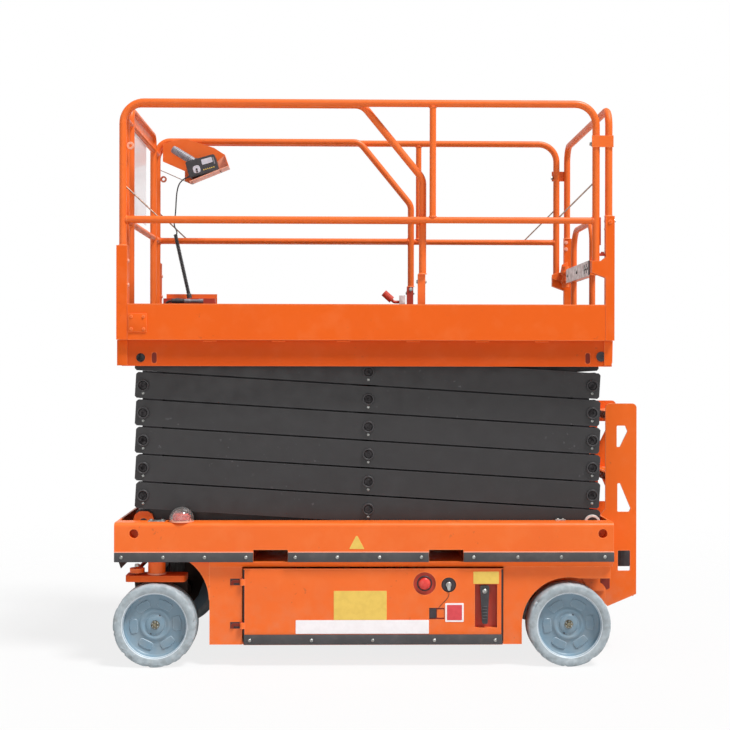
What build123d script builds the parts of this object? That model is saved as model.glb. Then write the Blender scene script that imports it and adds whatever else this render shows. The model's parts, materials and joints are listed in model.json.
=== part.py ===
from build123d import *
import os
from math import cos, sin, radians, degrees, atan2, hypot, sqrt

# Self-propelled electric scissor lift, stowed. Millimetres, +Z up, ground at Z = 0.
# +X is the entry end with the ladder, -X the steered end, -Y the near side with the base controls.
# The origin is the centre of the whole machine's plan, on the ground.

os.makedirs("parts", exist_ok=True)

# ---------------------------------------------------------------- driving dimensions
SIDES = (("near", -1), ("far", 1))

CHASSIS_FRONT = -1233.5
CHASSIS_REAR = 1054.5
LADDER_END = 1233.5
SIDE_OUT = 580.0            # outer face of the chassis side boxes
SIDE_IN = 482.0             # their inner face, beside the scissor well
SIDE_TOP = 662.0
SIDE_FRONT_LOW = 483.0      # underside over the steered wheel
SIDE_LOW = 457.0            # underside behind it, at the foot of the bevel
BELT_LOW = 482.0            # where the bevel starts
LOWER_OUT = 555.0           # outer face of the lower panels
SHEET = 10.0
DECK_TOP = 570.0            # floor of the scissor well
BELLY = 100.0               # ground clearance

TYRE_R = 190.5
TYRE_W = 127.0
WHEEL_OUT = 585.0
WHEEL_Y = WHEEL_OUT - TYRE_W / 2
STEER_X = -1049.5
REAR_X = 852.5

ARM_LENGTH = 2097.4         # pin to pin
ARM_REST = 3.5              # slope of the stowed arms, degrees
ARM_DEPTH = 120.0
ARM_THICK = 40.0
ARM_TAIL = 36.0             # arm beyond its end pin
ARM_CHAMFER = 9.0
LEVELS = 6
PIVOT_X = -1118.5           # fixed pivots of the stack, over the steered end
PIVOT_Z = 648.0
OUTER_IN = 427.0            # inner face of the outer arms
INNER_IN = 380.0            # inner face of the inner arms
PIN_R = 20.0
PIN_FIT = 0.1
BOSS_R = 27.0
CROSS_R = 32.0

PLATFORM_FRONT = -1224.6
PLATFORM_REAR = 1055.4
PLATFORM_OUT = 580.0
FRAME_OUT = 545.0           # outer face of the recessed platform channels
FLOOR_LOW = 1498.0
FLOOR_TOP = 1509.0
TOE_TOP = 1659.0
FRAME_LOW = 1378.0

RAIL_R = 17.0
MID_R = 15.0
RAIL_TOP = 2602.0
RAIL_Z = RAIL_TOP - RAIL_R
RAIL_Y = 560.0
RAIL_BEND = 97.0
MID_Z = 2050.0

half_rise = ARM_LENGTH / 2 * sin(radians(ARM_REST))
half_run = ARM_LENGTH / 2 * cos(radians(ARM_REST))
CENTRE_X = PIVOT_X + half_run
SLIDE_X = PIVOT_X + 2 * half_run


def level_z(level):
    """Height of the centre pins of a scissor level, counted from 1."""
    return PIVOT_Z + (2 * level - 1) * half_rise


def save(name, builder):
    """Label the finished piece and write it as one STEP file."""
    builder.part.label = name
    export_step(builder.part, f"parts/{name}.step")


def box(x, y, z, mode=Mode.ADD):
    """Add or cut a box given by its low and high X, Y and Z, in the open part."""
    with Locations(((x[0] + x[1]) / 2, (y[0] + y[1]) / 2, (z[0] + z[1]) / 2)):
        Box(abs(x[1] - x[0]), abs(y[1] - y[0]), abs(z[1] - z[0]), mode=mode)


def side_plate(points, y_low, y_high, mode=Mode.ADD):
    """Extrude an outline given in X and Z between two Y planes, in the open part."""
    with BuildSketch(Plane.XZ.offset(-y_low)) as outline:
        with BuildLine():
            Polyline(*points, close=True)
        make_face()
    extrude(outline.sketch, amount=-(y_high - y_low), mode=mode)


def round_bar(x, z, y_low, y_high, radius, mode=Mode.ADD):
    """A round bar, or a bore, along Y."""
    with BuildSketch(Plane.XZ.offset(-y_low)) as outline:
        with Locations((x, z)):
            Circle(radius)
    extrude(outline.sketch, amount=-(y_high - y_low), mode=mode)


def tube(points, radius, bend=None):
    """Sweep a round tube along straight runs with bent corners, in the open part."""
    with BuildLine() as path:
        if bend:
            FilletPolyline(*points, radius=bend)
        else:
            Polyline(*points)
    wire = path.wires()[0]
    with BuildSketch(Plane(origin=wire @ 0, z_dir=wire % 0)) as section:
        Circle(radius)
    sweep(section.sketch, path=wire)


def mirrored(side, low, high):
    """The Y range between two distances from the centre line, on one side."""
    return (low, high) if side > 0 else (-high, -low)


# ---------------------------------------------------------------- chassis
POCKETS = ((-598.5, -441.5), (205.5, 362.5))      # fork pockets: low X, high X
POCKET_Z = (483.0, 538.0)
PANEL_FRONT = (-801.0, -651.0)                    # lower panel ahead of the door
PANEL_REAR = (550.0, 635.5)
ARCH_REAR_R = 217.0
ARCH_FLAT = 402.0
ARCH_FRONT = (-1020.0, 304.0)                     # centre of the front arch's curve
ARCH_FRONT_R = 216.0
ARCH_FRONT_TIP = -903.0                           # where that curve meets the side box
ARCH_WALL_X = 915.0                               # inner wall behind the rear wheel
ARCH_WALL_LOW = 322.0
ARCH_WALL_Y = (410.0, 420.0)
HINGES_Z = (189.0, 388.0)                         # door hinges
SPINE_Y = 200.0
TRACK_TOP = 623.9
TRACK_Y = (380.0, 426.0)
TRACK_X = (-130.0, 1015.0)
BRACKET_TOP = 700.0
LUG_Z = 438.0

BOX_STEP_X = -801.0         # the side boxes are deeper behind this point
TIE_HOLE_Z = 612.0
TIE_HOLE_R = 21.0
TIE_HOLES_X = (CHASSIS_FRONT + 90, CHASSIS_REAR - 50)

for side_name, side in SIDES:
    with BuildPart() as side_box:
        with BuildSketch(Plane.YZ.offset(CHASSIS_FRONT)):
            with BuildLine():
                Polyline(
                    (side * SIDE_IN, SIDE_TOP),
                    (side * SIDE_OUT, SIDE_TOP),
                    (side * SIDE_OUT, SIDE_FRONT_LOW),
                    (side * SIDE_IN, SIDE_FRONT_LOW),
                    close=True,
                )
            make_face()
        extrude(amount=BOX_STEP_X - CHASSIS_FRONT)
        with BuildSketch(Plane.YZ.offset(BOX_STEP_X)):
            with BuildLine():
                Polyline(
                    (side * SIDE_IN, SIDE_TOP),
                    (side * SIDE_OUT, SIDE_TOP),
                    (side * SIDE_OUT, SIDE_FRONT_LOW),
                    (side * LOWER_OUT, SIDE_LOW),
                    (side * SIDE_IN, SIDE_LOW),
                    close=True,
                )
            make_face()
        extrude(amount=CHASSIS_REAR - BOX_STEP_X)
        for x_pocket in POCKETS:
            box(x_pocket, mirrored(side, SIDE_IN - 1, SIDE_OUT + 1), POCKET_Z, Mode.SUBTRACT)
        for x_hole in TIE_HOLES_X:
            y_hole = mirrored(side, SIDE_OUT - 60, SIDE_OUT + 1)
            round_bar(x_hole, TIE_HOLE_Z, *y_hole, TIE_HOLE_R, Mode.SUBTRACT)
        top_edge = side_box.edges().filter_by(Axis.X).group_by(Axis.Z)[-1].sort_by(Axis.Y)[0 if side < 0 else -1]
        fillet(top_edge, radius=18)
    save(f"side_box_{side_name}", side_box)

with BuildPart() as chassis_frame:
    # deck under the scissor well, spine and end plates
    box((CHASSIS_FRONT, CHASSIS_REAR), (-SIDE_IN, SIDE_IN), (DECK_TOP - SHEET, DECK_TOP))
    box((PANEL_FRONT[0], PANEL_REAR[1]), (-SPINE_Y, SPINE_Y), (BELLY, DECK_TOP - SHEET))
    for x_end in (CHASSIS_FRONT, CHASSIS_REAR - SHEET):
        box((x_end, x_end + SHEET), (-SIDE_IN, SIDE_IN), (SIDE_FRONT_LOW, SIDE_TOP))
    for side_name, side in SIDES:
        # lower panels ahead of and behind the door, and the walls of the bay
        y_panel = mirrored(side, LOWER_OUT - SHEET, LOWER_OUT)
        y_bay = mirrored(side, SPINE_Y, LOWER_OUT - SHEET)
        y_inner = mirrored(side, SPINE_Y, SIDE_IN)
        box(PANEL_FRONT, y_panel, (BELLY, SIDE_LOW))
        box((PANEL_REAR[0], CHASSIS_REAR - SHEET), y_panel, (BELLY, SIDE_LOW))
        for x_wall in (PANEL_FRONT[0], PANEL_REAR[1] - SHEET):
            box((x_wall, x_wall + SHEET), y_bay, (BELLY, SIDE_LOW))
            box((x_wall, x_wall + SHEET), y_inner, (BELLY, DECK_TOP - SHEET))
        box((PANEL_FRONT[0], PANEL_REAR[1]), y_bay, (BELLY, BELLY + SHEET))
        side_plate(
            (
                (CHASSIS_FRONT, SIDE_FRONT_LOW),
                (CHASSIS_FRONT + 15, LUG_Z),
                (CHASSIS_FRONT + 42, LUG_Z + 27),
                (CHASSIS_FRONT + 42, SIDE_FRONT_LOW),
            ),
            *mirrored(side, SIDE_IN - SHEET, SIDE_IN),
        )
        # slide tracks and the plates that hold the stack's fixed pivots
        box(TRACK_X, mirrored(side, *TRACK_Y), (DECK_TOP, TRACK_TOP))
        side_plate(
            (
                (PIVOT_X - 75, DECK_TOP),
                (PIVOT_X + 75, DECK_TOP),
                (PIVOT_X + 40, BRACKET_TOP - 15),
                (PIVOT_X + 20, BRACKET_TOP),
                (PIVOT_X - 20, BRACKET_TOP),
                (PIVOT_X - 40, BRACKET_TOP - 15),
            ),
            *mirrored(side, OUTER_IN, OUTER_IN + 24),
        )
        round_bar(PIVOT_X, PIVOT_Z, *mirrored(side, OUTER_IN - 1, OUTER_IN + 25), PIN_R + PIN_FIT, Mode.SUBTRACT)
    # axle mounts
    for x_axle, half_mount in ((STEER_X, 36), (REAR_X, 60)):
        box((x_axle - half_mount, x_axle + half_mount), (-300, 300), (TYRE_R + 40, DECK_TOP - SHEET))
    # fork pockets through the frame
    for x_pocket in POCKETS:
        x_wall = (x_pocket[0] - SHEET, x_pocket[1] + SHEET)
        box(x_wall, (-SIDE_IN, SIDE_IN), (POCKET_Z[0] - SHEET, POCKET_Z[1] + SHEET))
        box(x_pocket, (-SIDE_IN - 1, SIDE_IN + 1), POCKET_Z, Mode.SUBTRACT)
    # rear wheel arches
    for side_name, side in SIDES:
        y_cut = mirrored(side, SPINE_Y + 101, SIDE_OUT)
        round_bar(REAR_X, TYRE_R, *y_cut, ARCH_REAR_R, Mode.SUBTRACT)
        box((PANEL_REAR[1], REAR_X), y_cut, (BELLY - 1, TYRE_R), Mode.SUBTRACT)
        box((REAR_X, CHASSIS_REAR), y_cut, (BELLY - 1, ARCH_FLAT), Mode.SUBTRACT)
save("chassis_frame", chassis_frame)

# arch sheets: the curved lead of each front arch, and the inner wall behind each rear wheel
with BuildPart() as arch_sheets:
    for side_name, side in SIDES:
        y_lead = mirrored(side, LOWER_OUT - SHEET, LOWER_OUT)
        box((ARCH_FRONT_TIP, PANEL_FRONT[0]), y_lead, (ARCH_FRONT[1], SIDE_FRONT_LOW))
        round_bar(*ARCH_FRONT, *mirrored(side, LOWER_OUT - SHEET - 1, LOWER_OUT + 1), ARCH_FRONT_R, Mode.SUBTRACT)
        side_plate(
            (
                (ARCH_WALL_X, DECK_TOP - SHEET),
                (ARCH_WALL_X, ARCH_FLAT + 20),
                (ARCH_WALL_X + 55, ARCH_WALL_LOW),
                (CHASSIS_REAR - SHEET, ARCH_WALL_LOW),
                (CHASSIS_REAR - SHEET, DECK_TOP - SHEET),
            ),
            *mirrored(side, *ARCH_WALL_Y),
        )
save("arch_sheets", arch_sheets)

# ladder: two side plates with hand holes and three treads
LADDER_Y = 245.0
LADDER_FRONT = 1082.0
LADDER_TOP = 1199.0
LADDER_PLATE = 8.0
LADDER_CORNER_R = 22.0
HAND_HOLES = (               # X and Z of the corners of the holes in the side plates
    ((1137, 1091), (1178, 1091), (1189, 1064), (1152, 988), (1137, 988)),
    ((1141, 812), (1154, 812), (1205, 690), (1198, 674), (1141, 674)),
    ((1144, 486), (1203, 486), (1203, 388), (1144, 388)),
)
HAND_HOLE_R = 5.0
with BuildPart() as ladder:
    for side_name, side in SIDES:
        y_plate = mirrored(side, LADDER_Y - LADDER_PLATE, LADDER_Y)
        with BuildSketch(Plane.XZ.offset(-y_plate[0])) as ladder_side:
            with BuildLine():
                Polyline(
                    (CHASSIS_REAR, 655),
                    (CHASSIS_REAR, 252),
                    (1094, 216),
                    (LADDER_END, 275),
                    (LADDER_END, LADDER_TOP),
                    (LADDER_FRONT, LADDER_TOP),
                    (LADDER_FRONT, 690),
                    close=True,
                )
            make_face()
            fillet(ladder_side.vertices().group_by(Axis.Y)[-1], radius=LADDER_CORNER_R)
        extrude(ladder_side.sketch, amount=-LADDER_PLATE)
        for corners in HAND_HOLES:
            with BuildSketch(Plane.XZ.offset(-y_plate[0])) as hand_hole:
                with BuildLine():
                    Polyline(*corners, close=True)
                make_face()
                fillet(hand_hole.vertices(), radius=HAND_HOLE_R)
            extrude(hand_hole.sketch, amount=-LADDER_PLATE, mode=Mode.SUBTRACT)
    for z_tread in (1157, 853, 549, 300):
        box((1105, 1222), (-LADDER_Y + 8, LADDER_Y - 8), (z_tread - 6, z_tread))
        box((1216, 1222), (-LADDER_Y + 8, LADDER_Y - 8), (z_tread - 36, z_tread))
        box((1105, 1111), (-LADDER_Y + 8, LADDER_Y - 8), (z_tread - 36, z_tread))
    box((CHASSIS_REAR, CHASSIS_REAR + 8), (-LADDER_Y + 8, LADDER_Y - 8), (500, 640))
save("ladder", ladder)

# heavy masses inside the side bays
BAY_BLOCKS = (
    # name, side, low X, high X, low |Y|, high |Y|, top Z
    ("power_unit_block", -1, -420.0, 300.0, 215.0, 430.0, 330.0),
    ("battery_block", 1, -500.0, 420.0, 215.0, 500.0, 400.0),
)
for block_name, side, x_low, x_high, y_low, y_high, z_top in BAY_BLOCKS:
    with BuildPart() as bay_block:
        box((x_low, x_high), mirrored(side, y_low, y_high), (BELLY + SHEET, z_top))
        fillet(bay_block.edges().filter_by(Axis.Z), radius=12)
    save(block_name, bay_block)

# beacon on the near side box
BEACON_X = -932.0
BEACON_R = 57.0
with BuildPart() as beacon:
    with Locations((BEACON_X, -530, SIDE_TOP)):
        Cylinder(BEACON_R, 11, align=(Align.CENTER, Align.CENTER, Align.MIN))
    with Locations((BEACON_X, -530, SIDE_TOP + 11)):
        Sphere(BEACON_R, arc_size1=0, align=(Align.CENTER, Align.CENTER, Align.MIN))
save("beacon", beacon)

# axles: a cross beam under the struts; the rear one carries the stub spindles
KINGPIN_Y = 500.0
KINGPIN_TOP = SIDE_FRONT_LOW
KINGPIN_LOW = 421.0
KINGPIN_R = 40.0
KINGPIN_BORE = 22.0
YOKE_TOP = 415.0
YOKE_LOW = 387.0
with BuildPart() as front_axle:
    box((STEER_X - 50, STEER_X + 50), (-300, 300), (TYRE_R - 40, TYRE_R + 40))
    for side_name, side in SIDES:
        box((STEER_X - 30, STEER_X + 30), mirrored(side, 300, 310), (TYRE_R - 40, SIDE_FRONT_LOW))
        box((STEER_X - 30, STEER_X + 30), mirrored(side, 300, KINGPIN_Y), (430, SIDE_FRONT_LOW - 2))
        with BuildSketch(Plane.XY.offset(KINGPIN_LOW)):
            with Locations((STEER_X, side * KINGPIN_Y)):
                Circle(KINGPIN_R)
        extrude(amount=KINGPIN_TOP - KINGPIN_LOW)
        with BuildSketch(Plane.XY.offset(KINGPIN_LOW)):
            with Locations((STEER_X, side * KINGPIN_Y)):
                Circle(KINGPIN_BORE)
        extrude(amount=KINGPIN_TOP - KINGPIN_LOW - 8, mode=Mode.SUBTRACT)
save("front_axle", front_axle)

SPINDLE_R = 30.0
HUB_IN = WHEEL_OUT - TYRE_W
with BuildPart() as rear_axle:
    box((REAR_X - 50, REAR_X + 50), (-300, 300), (TYRE_R - 40, TYRE_R + 40))
    for side_name, side in SIDES:
        round_bar(REAR_X, TYRE_R, *mirrored(side, 300, 420), 85)
        round_bar(REAR_X, TYRE_R, *mirrored(side, 420, WHEEL_OUT - 40), SPINDLE_R)
save("rear_axle", rear_axle)

# steered knuckles: kingpin, yoke plate over the tyre, inner cheek, drive motor and spindle
CHEEK_Y = (432.0, 448.0)
TIE_X = STEER_X - 90.0       # tie rod pins, ahead of the kingpins
TIE_PIN_R = 9.0
TIE_EYE_R = 34.0
TIE_Z = (424.0, 444.0)
for side_name, side in SIDES:
    with BuildPart() as knuckle:
        with BuildSketch(Plane.XY.offset(YOKE_LOW)):
            with Locations((STEER_X, side * (KINGPIN_Y - 8))):
                RectangleRounded(276, 120, 20)
        extrude(amount=YOKE_TOP - YOKE_LOW)
        with BuildSketch(Plane.XY.offset(YOKE_TOP)):
            with Locations((STEER_X, side * KINGPIN_Y)):
                Circle(KINGPIN_BORE - PIN_FIT)
        extrude(amount=KINGPIN_TOP - YOKE_TOP - 14)
        side_plate(
            (
                (STEER_X - 112, YOKE_LOW),
                (STEER_X + 136, YOKE_LOW),
                (STEER_X + 136, TYRE_R + 95),
                (STEER_X + 90, TYRE_R - 40),
                (STEER_X + 50, TYRE_R - 90),
                (STEER_X - 50, TYRE_R - 90),
                (STEER_X - 90, TYRE_R - 40),
            ),
            *mirrored(side, *CHEEK_Y),
        )
        round_bar(STEER_X, TYRE_R, *mirrored(side, 345, CHEEK_Y[0]), 62)
        round_bar(STEER_X, TYRE_R, *mirrored(side, CHEEK_Y[1], WHEEL_OUT - 40), SPINDLE_R)
        with BuildSketch(Plane.XY.offset(YOKE_TOP)):
            with Locations((TIE_X, side * KINGPIN_Y)):
                Circle(TIE_PIN_R)
        extrude(amount=TIE_Z[1] + 8 - YOKE_TOP)
    save(f"knuckle_{side_name}", knuckle)

with BuildPart() as tie_rod:
    tie_ends = ((TIE_X, KINGPIN_Y), (TIE_X, -KINGPIN_Y))
    with BuildSketch(Plane.XY.offset(TIE_Z[0])):
        with Locations(*tie_ends):
            Circle(TIE_EYE_R)
    extrude(amount=TIE_Z[1] - TIE_Z[0])
    round_bar(TIE_X, (TIE_Z[0] + TIE_Z[1]) / 2, -KINGPIN_Y, KINGPIN_Y, TIE_PIN_R)
    for (x_pin, y_pin), fit in zip(tie_ends, (0.5, PIN_FIT)):
        with BuildSketch(Plane.XY.offset(TIE_Z[0])):
            with Locations((x_pin, y_pin)):
                Circle(TIE_PIN_R + fit)
        extrude(amount=TIE_Z[1] - TIE_Z[0], mode=Mode.SUBTRACT)
save("tie_rod", tie_rod)

# wheels: a solid tyre bonded to a dished disc with a hub bore
RIM_R = 150.0
WHEELS = (
    # name, X, side
    ("front_near", STEER_X, -1),
    ("front_far", STEER_X, 1),
    ("rear_near", REAR_X, -1),
    ("rear_far", REAR_X, 1),
)
for wheel_name, x_wheel, side in WHEELS:
    with BuildPart() as tyre:
        with BuildSketch(Plane.YZ.offset(x_wheel)):
            with BuildLine():
                Polyline(
                    (side * HUB_IN, TYRE_R + RIM_R),
                    (side * HUB_IN, TYRE_R + TYRE_R - 12),
                    (side * (HUB_IN + 12), TYRE_R + TYRE_R),
                    (side * (WHEEL_OUT - 12), TYRE_R + TYRE_R),
                    (side * WHEEL_OUT, TYRE_R + TYRE_R - 12),
                    (side * WHEEL_OUT, TYRE_R + RIM_R),
                    close=True,
                )
            make_face()
        revolve(axis=Axis((x_wheel, 0, TYRE_R), (0, 1, 0)))
    save(f"tyre_{wheel_name}", tyre)
    with BuildPart() as rim:
        with BuildSketch(Plane.YZ.offset(x_wheel)):
            with BuildLine():
                Polyline(
                    (side * (HUB_IN + 4), TYRE_R + SPINDLE_R + PIN_FIT),
                    (side * (HUB_IN + 4), TYRE_R + RIM_R),
                    (side * (WHEEL_OUT - 3), TYRE_R + RIM_R),
                    (side * (WHEEL_OUT - 3), TYRE_R + RIM_R - 5),
                    (side * (WHEEL_OUT - 30), TYRE_R + RIM_R - 13),
                    (side * (WHEEL_OUT - 30), TYRE_R + 66),
                    (side * (WHEEL_OUT - 22), TYRE_R + 60),
                    (side * (WHEEL_OUT - 22), TYRE_R + 40),
                    (side * (WHEEL_OUT - 26), TYRE_R + 37),
                    (side * (WHEEL_OUT - 26), TYRE_R),
                    (side * (WHEEL_OUT - 38), TYRE_R),
                    (side * (WHEEL_OUT - 38), TYRE_R + SPINDLE_R + PIN_FIT),
                    close=True,
                )
            make_face()
        revolve(axis=Axis((x_wheel, 0, TYRE_R), (0, 1, 0)))
    save(f"rim_{wheel_name}", rim)

# doors over the side bays, hinged at their front edge
DOOR_X = (-644.5, 545.5)
DOOR_Z = (BELLY, 450.0)
DOOR_Y = (556.0, 566.0)
HINGE_X = -652.0
HINGE_Y = 566.0
STOP_AT = (186.0, 381.0)     # stop button, X and Z
KEY_AT = (297.0, 375.0)
KEY_R = 34.0
SOCKET_X = (207.0, 278.0)
SOCKET_Z = (217.0, 270.0)
WELL_X = (417.5, 520.0)      # latch well
WELL_Z = (178.0, 377.5)
WELL_BACK = 544.0
WELL_SHEET = 3.0
LATCH_X = (441.0, 484.0)
LATCH_Z = (196.0, 372.0)
for side_name, side in SIDES:
    with BuildPart() as door:
        box(DOOR_X, mirrored(side, *DOOR_Y), DOOR_Z)
        well_x = (WELL_X[0] - WELL_SHEET, WELL_X[1] + WELL_SHEET)
        well_z = (WELL_Z[0] - WELL_SHEET, WELL_Z[1] + WELL_SHEET)
        box(well_x, mirrored(side, WELL_BACK - WELL_SHEET, DOOR_Y[1]), well_z)
        box(WELL_X, mirrored(side, WELL_BACK, DOOR_Y[1] + 1), WELL_Z, Mode.SUBTRACT)
        if side < 0:
            # recesses for the stop button, the key switch and the socket, each with a thin back
            y_recess = mirrored(side, DOOR_Y[0] + WELL_SHEET, DOOR_Y[1] + 1)
            round_bar(*STOP_AT, *y_recess, 52, Mode.SUBTRACT)
            round_bar(*KEY_AT, *y_recess, KEY_R, Mode.SUBTRACT)
            box(SOCKET_X, y_recess, SOCKET_Z, Mode.SUBTRACT)
        for z_hinge in HINGES_Z:
            with BuildSketch(Plane.XY.offset(z_hinge - 14)):
                with Locations((HINGE_X, side * HINGE_Y)):
                    Circle(9)
                with Locations(((HINGE_X + DOOR_X[0] + 6) / 2, side * HINGE_Y)):
                    Rectangle(DOOR_X[0] + 6 - HINGE_X, 8)
            extrude(amount=28)
        # latch lever on its pivot stub
        round_bar((LATCH_X[0] + LATCH_X[1]) / 2, LATCH_Z[1] - 26, *mirrored(side, WELL_BACK, DOOR_Y[1] - 4), 12)
        with BuildSketch(Plane.XZ.offset(-mirrored(side, DOOR_Y[1] - 10, DOOR_Y[1] + 4)[0])) as lever:
            with BuildLine():
                Polyline(
                    (LATCH_X[0], LATCH_Z[1]),
                    (LATCH_X[1], LATCH_Z[1]),
                    (LATCH_X[1] - 8, LATCH_Z[0]),
                    (LATCH_X[0] + 10, LATCH_Z[0]),
                    close=True,
                )
            make_face()
            fillet(lever.vertices(), radius=8)
        extrude(lever.sketch, amount=-14)
    save(f"door_{side_name}", door)

with BuildPart() as stop_button:
    round_bar(*STOP_AT, -(DOOR_Y[1] - 3), -(DOOR_Y[0] + WELL_SHEET), 12)
    round_bar(*STOP_AT, -(DOOR_Y[1] + 6), -(DOOR_Y[1] - 3), 26)
save("stop_button", stop_button)

# ---------------------------------------------------------------- scissor stack
OUTER_OUT = OUTER_IN + ARM_THICK
INNER_OUT = INNER_IN + ARM_THICK
BOSS_OUT = OUTER_OUT + 5
PIN_OUT = OUTER_OUT + 3
OPEN_FIT = 0.5              # pivots where the closed chain is opened
ROLLER_R = 24.0
HALF = ARM_LENGTH / 2
CYL_SPAN = 839.0            # cylinder eyes from the middle of their arms
CYL_EYE_Y = 100.0
CYL_STUB_Y = 106.0
CYL_PIN_R = 25.0
CYL_EYE_R = 45.0
CYL_BARREL_R = 58.0
FOOT_LEVELS = (1, 4)        # inner pairs that carry a cylinder's foot
ROD_LEVELS = (3, 6)         # inner pairs that its rod pushes
CYL_ROD_R = 35.0


def arm_plane(level, slope, y):
    """Plane on the arm's centre pin: x along the arm towards +X, z towards the near side."""
    tilt = radians(ARM_REST) * slope
    return Plane(origin=(CENTRE_X, y, level_z(level)), x_dir=(cos(tilt), 0, sin(tilt)), z_dir=(0, -1, 0))


def arm_discs(level, slope, y_low, y_high, along, radius, mode=Mode.ADD):
    """Discs or bores along Y at distances along the arm, in the open part."""
    with BuildSketch(arm_plane(level, slope, y_low)) as outline:
        with Locations(*((s, 0) for s in along)):
            Circle(radius)
    extrude(outline.sketch, amount=-(y_high - y_low), mode=mode)


def arm_bar(level, slope, y_low, y_high):
    """One arm as a box section with chamfered ends, in the open part."""
    end = HALF + ARM_TAIL
    cut = ARM_CHAMFER
    rim = ARM_DEPTH / 2
    with BuildSketch(arm_plane(level, slope, y_low)) as outline:
        with BuildLine():
            Polyline(
                (-end + cut, -rim), (end - cut, -rim), (end, -rim + cut), (end, rim - cut),
                (end - cut, rim), (-end + cut, rim), (-end, rim - cut), (-end, -rim + cut),
                close=True,
            )
        make_face()
    extrude(outline.sketch, amount=-(y_high - y_low))


for level in range(1, LEVELS + 1):
    with BuildPart() as outer_arms:
        for side_name, side in SIDES:
            arm_bar(level, -1, *mirrored(side, OUTER_IN, OUTER_OUT))
            arm_discs(level, -1, *mirrored(side, OUTER_OUT - 1, BOSS_OUT), (-HALF, 0, HALF), BOSS_R)
            y_bore = mirrored(side, OUTER_IN - 1, BOSS_OUT + 1)
            arm_discs(level, -1, *y_bore, (0,), PIN_R + PIN_FIT, Mode.SUBTRACT)
            if level < LEVELS:
                fit = PIN_FIT if level % 2 == 0 else OPEN_FIT
                arm_discs(level, -1, *y_bore, (-HALF,), PIN_R + fit, Mode.SUBTRACT)
            else:
                arm_discs(level, -1, *mirrored(side, OUTER_OUT, FRAME_OUT), (-HALF,), PIN_R)
            if level > 1:
                fit = PIN_FIT if level % 2 == 0 else OPEN_FIT
                arm_discs(level, -1, *y_bore, (HALF,), PIN_R + fit, Mode.SUBTRACT)
            else:
                arm_discs(level, -1, *mirrored(side, INNER_IN + 4, OUTER_IN), (HALF,), ROLLER_R)
    save(f"outer_arms_{level}", outer_arms)

    with BuildPart() as inner_arms:
        for side_name, side in SIDES:
            arm_bar(level, 1, *mirrored(side, INNER_IN, INNER_OUT))
            arm_discs(level, 1, *mirrored(side, INNER_OUT, PIN_OUT), (0,), PIN_R)
            left_out = PIN_OUT if level > 1 else OUTER_IN + 24
            arm_discs(level, 1, *mirrored(side, INNER_OUT, left_out), (-HALF,), PIN_R)
            if level < LEVELS:
                arm_discs(level, 1, *mirrored(side, INNER_OUT, PIN_OUT), (HALF,), PIN_R)
            else:
                arm_discs(level, 1, *mirrored(side, INNER_OUT, OUTER_OUT - 4), (HALF,), ROLLER_R)
        # pairs that take a cylinder's rod have their second tube clear of its swing
        tubes = (CYL_SPAN, HALF) if level in ROD_LEVELS else (-HALF, HALF)
        arm_discs(level, 1, -INNER_IN, INNER_IN, tubes, CROSS_R)
        if level in FOOT_LEVELS:
            arm_discs(level, 1, -INNER_IN, -CYL_STUB_Y, (CYL_SPAN,), CROSS_R)
            arm_discs(level, 1, CYL_STUB_Y, INNER_IN, (CYL_SPAN,), CROSS_R)
            arm_discs(level, 1, -CYL_STUB_Y, CYL_STUB_Y, (CYL_SPAN,), CYL_PIN_R)
        if level in ROD_LEVELS:
            arm_discs(level, 1, -INNER_IN, -CYL_STUB_Y, (-CYL_SPAN,), CROSS_R)
            arm_discs(level, 1, CYL_STUB_Y, INNER_IN, (-CYL_SPAN,), CROSS_R)
    save(f"inner_arms_{level}", inner_arms)

# lift cylinders, each from an inner pair to the inner pair two levels up
for cylinder_name, level in zip(("lower", "upper"), FOOT_LEVELS):
    rest = radians(ARM_REST)
    foot = (CENTRE_X + CYL_SPAN * cos(rest), level_z(level) + CYL_SPAN * sin(rest))
    head = (CENTRE_X - CYL_SPAN * cos(rest), level_z(level + 2) - CYL_SPAN * sin(rest))
    reach = hypot(head[0] - foot[0], head[1] - foot[1])
    aim = ((head[0] - foot[0]) / reach, 0, (head[1] - foot[1]) / reach)
    with BuildPart() as barrel:
        round_bar(foot[0], foot[1], -CYL_EYE_Y, CYL_EYE_Y, CYL_EYE_R)
        with BuildSketch(Plane(origin=(foot[0], 0, foot[1]), z_dir=aim).offset(CYL_PIN_R + 8)):
            Circle(CYL_BARREL_R)
        extrude(amount=reach - 190)
        round_bar(foot[0], foot[1], -CYL_EYE_Y - 1, CYL_EYE_Y + 1, CYL_PIN_R + PIN_FIT, Mode.SUBTRACT)
        with BuildSketch(Plane(origin=(foot[0], 0, foot[1]), z_dir=aim).offset(200)):
            Circle(CYL_ROD_R + PIN_FIT)
        extrude(amount=reach, mode=Mode.SUBTRACT)
    save(f"cylinder_barrel_{cylinder_name}", barrel)
    with BuildPart() as rod:
        with BuildSketch(Plane(origin=(foot[0], 0, foot[1]), z_dir=aim).offset(205)):
            Circle(CYL_ROD_R)
        extrude(amount=reach - 205)
        round_bar(head[0], head[1], -CYL_EYE_Y, CYL_EYE_Y, CYL_EYE_R - 5)
    save(f"cylinder_rod_{cylinder_name}", rod)

# ---------------------------------------------------------------- platform
PLATE_X = (PLATFORM_FRONT, PLATFORM_REAR)
RAIL_SLIDE_Z = level_z(LEVELS) + half_rise + ROLLER_R + PIN_FIT
STANCHION_Y = (545.0, 580.0)
FRONT_STANCHION_TOP = 1929.0
REAR_STANCHION_X = (1014.6, PLATFORM_REAR)
REAR_STANCHION_TOP = 2070.0
TOP_PIVOT_Z = level_z(LEVELS) + half_rise

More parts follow.
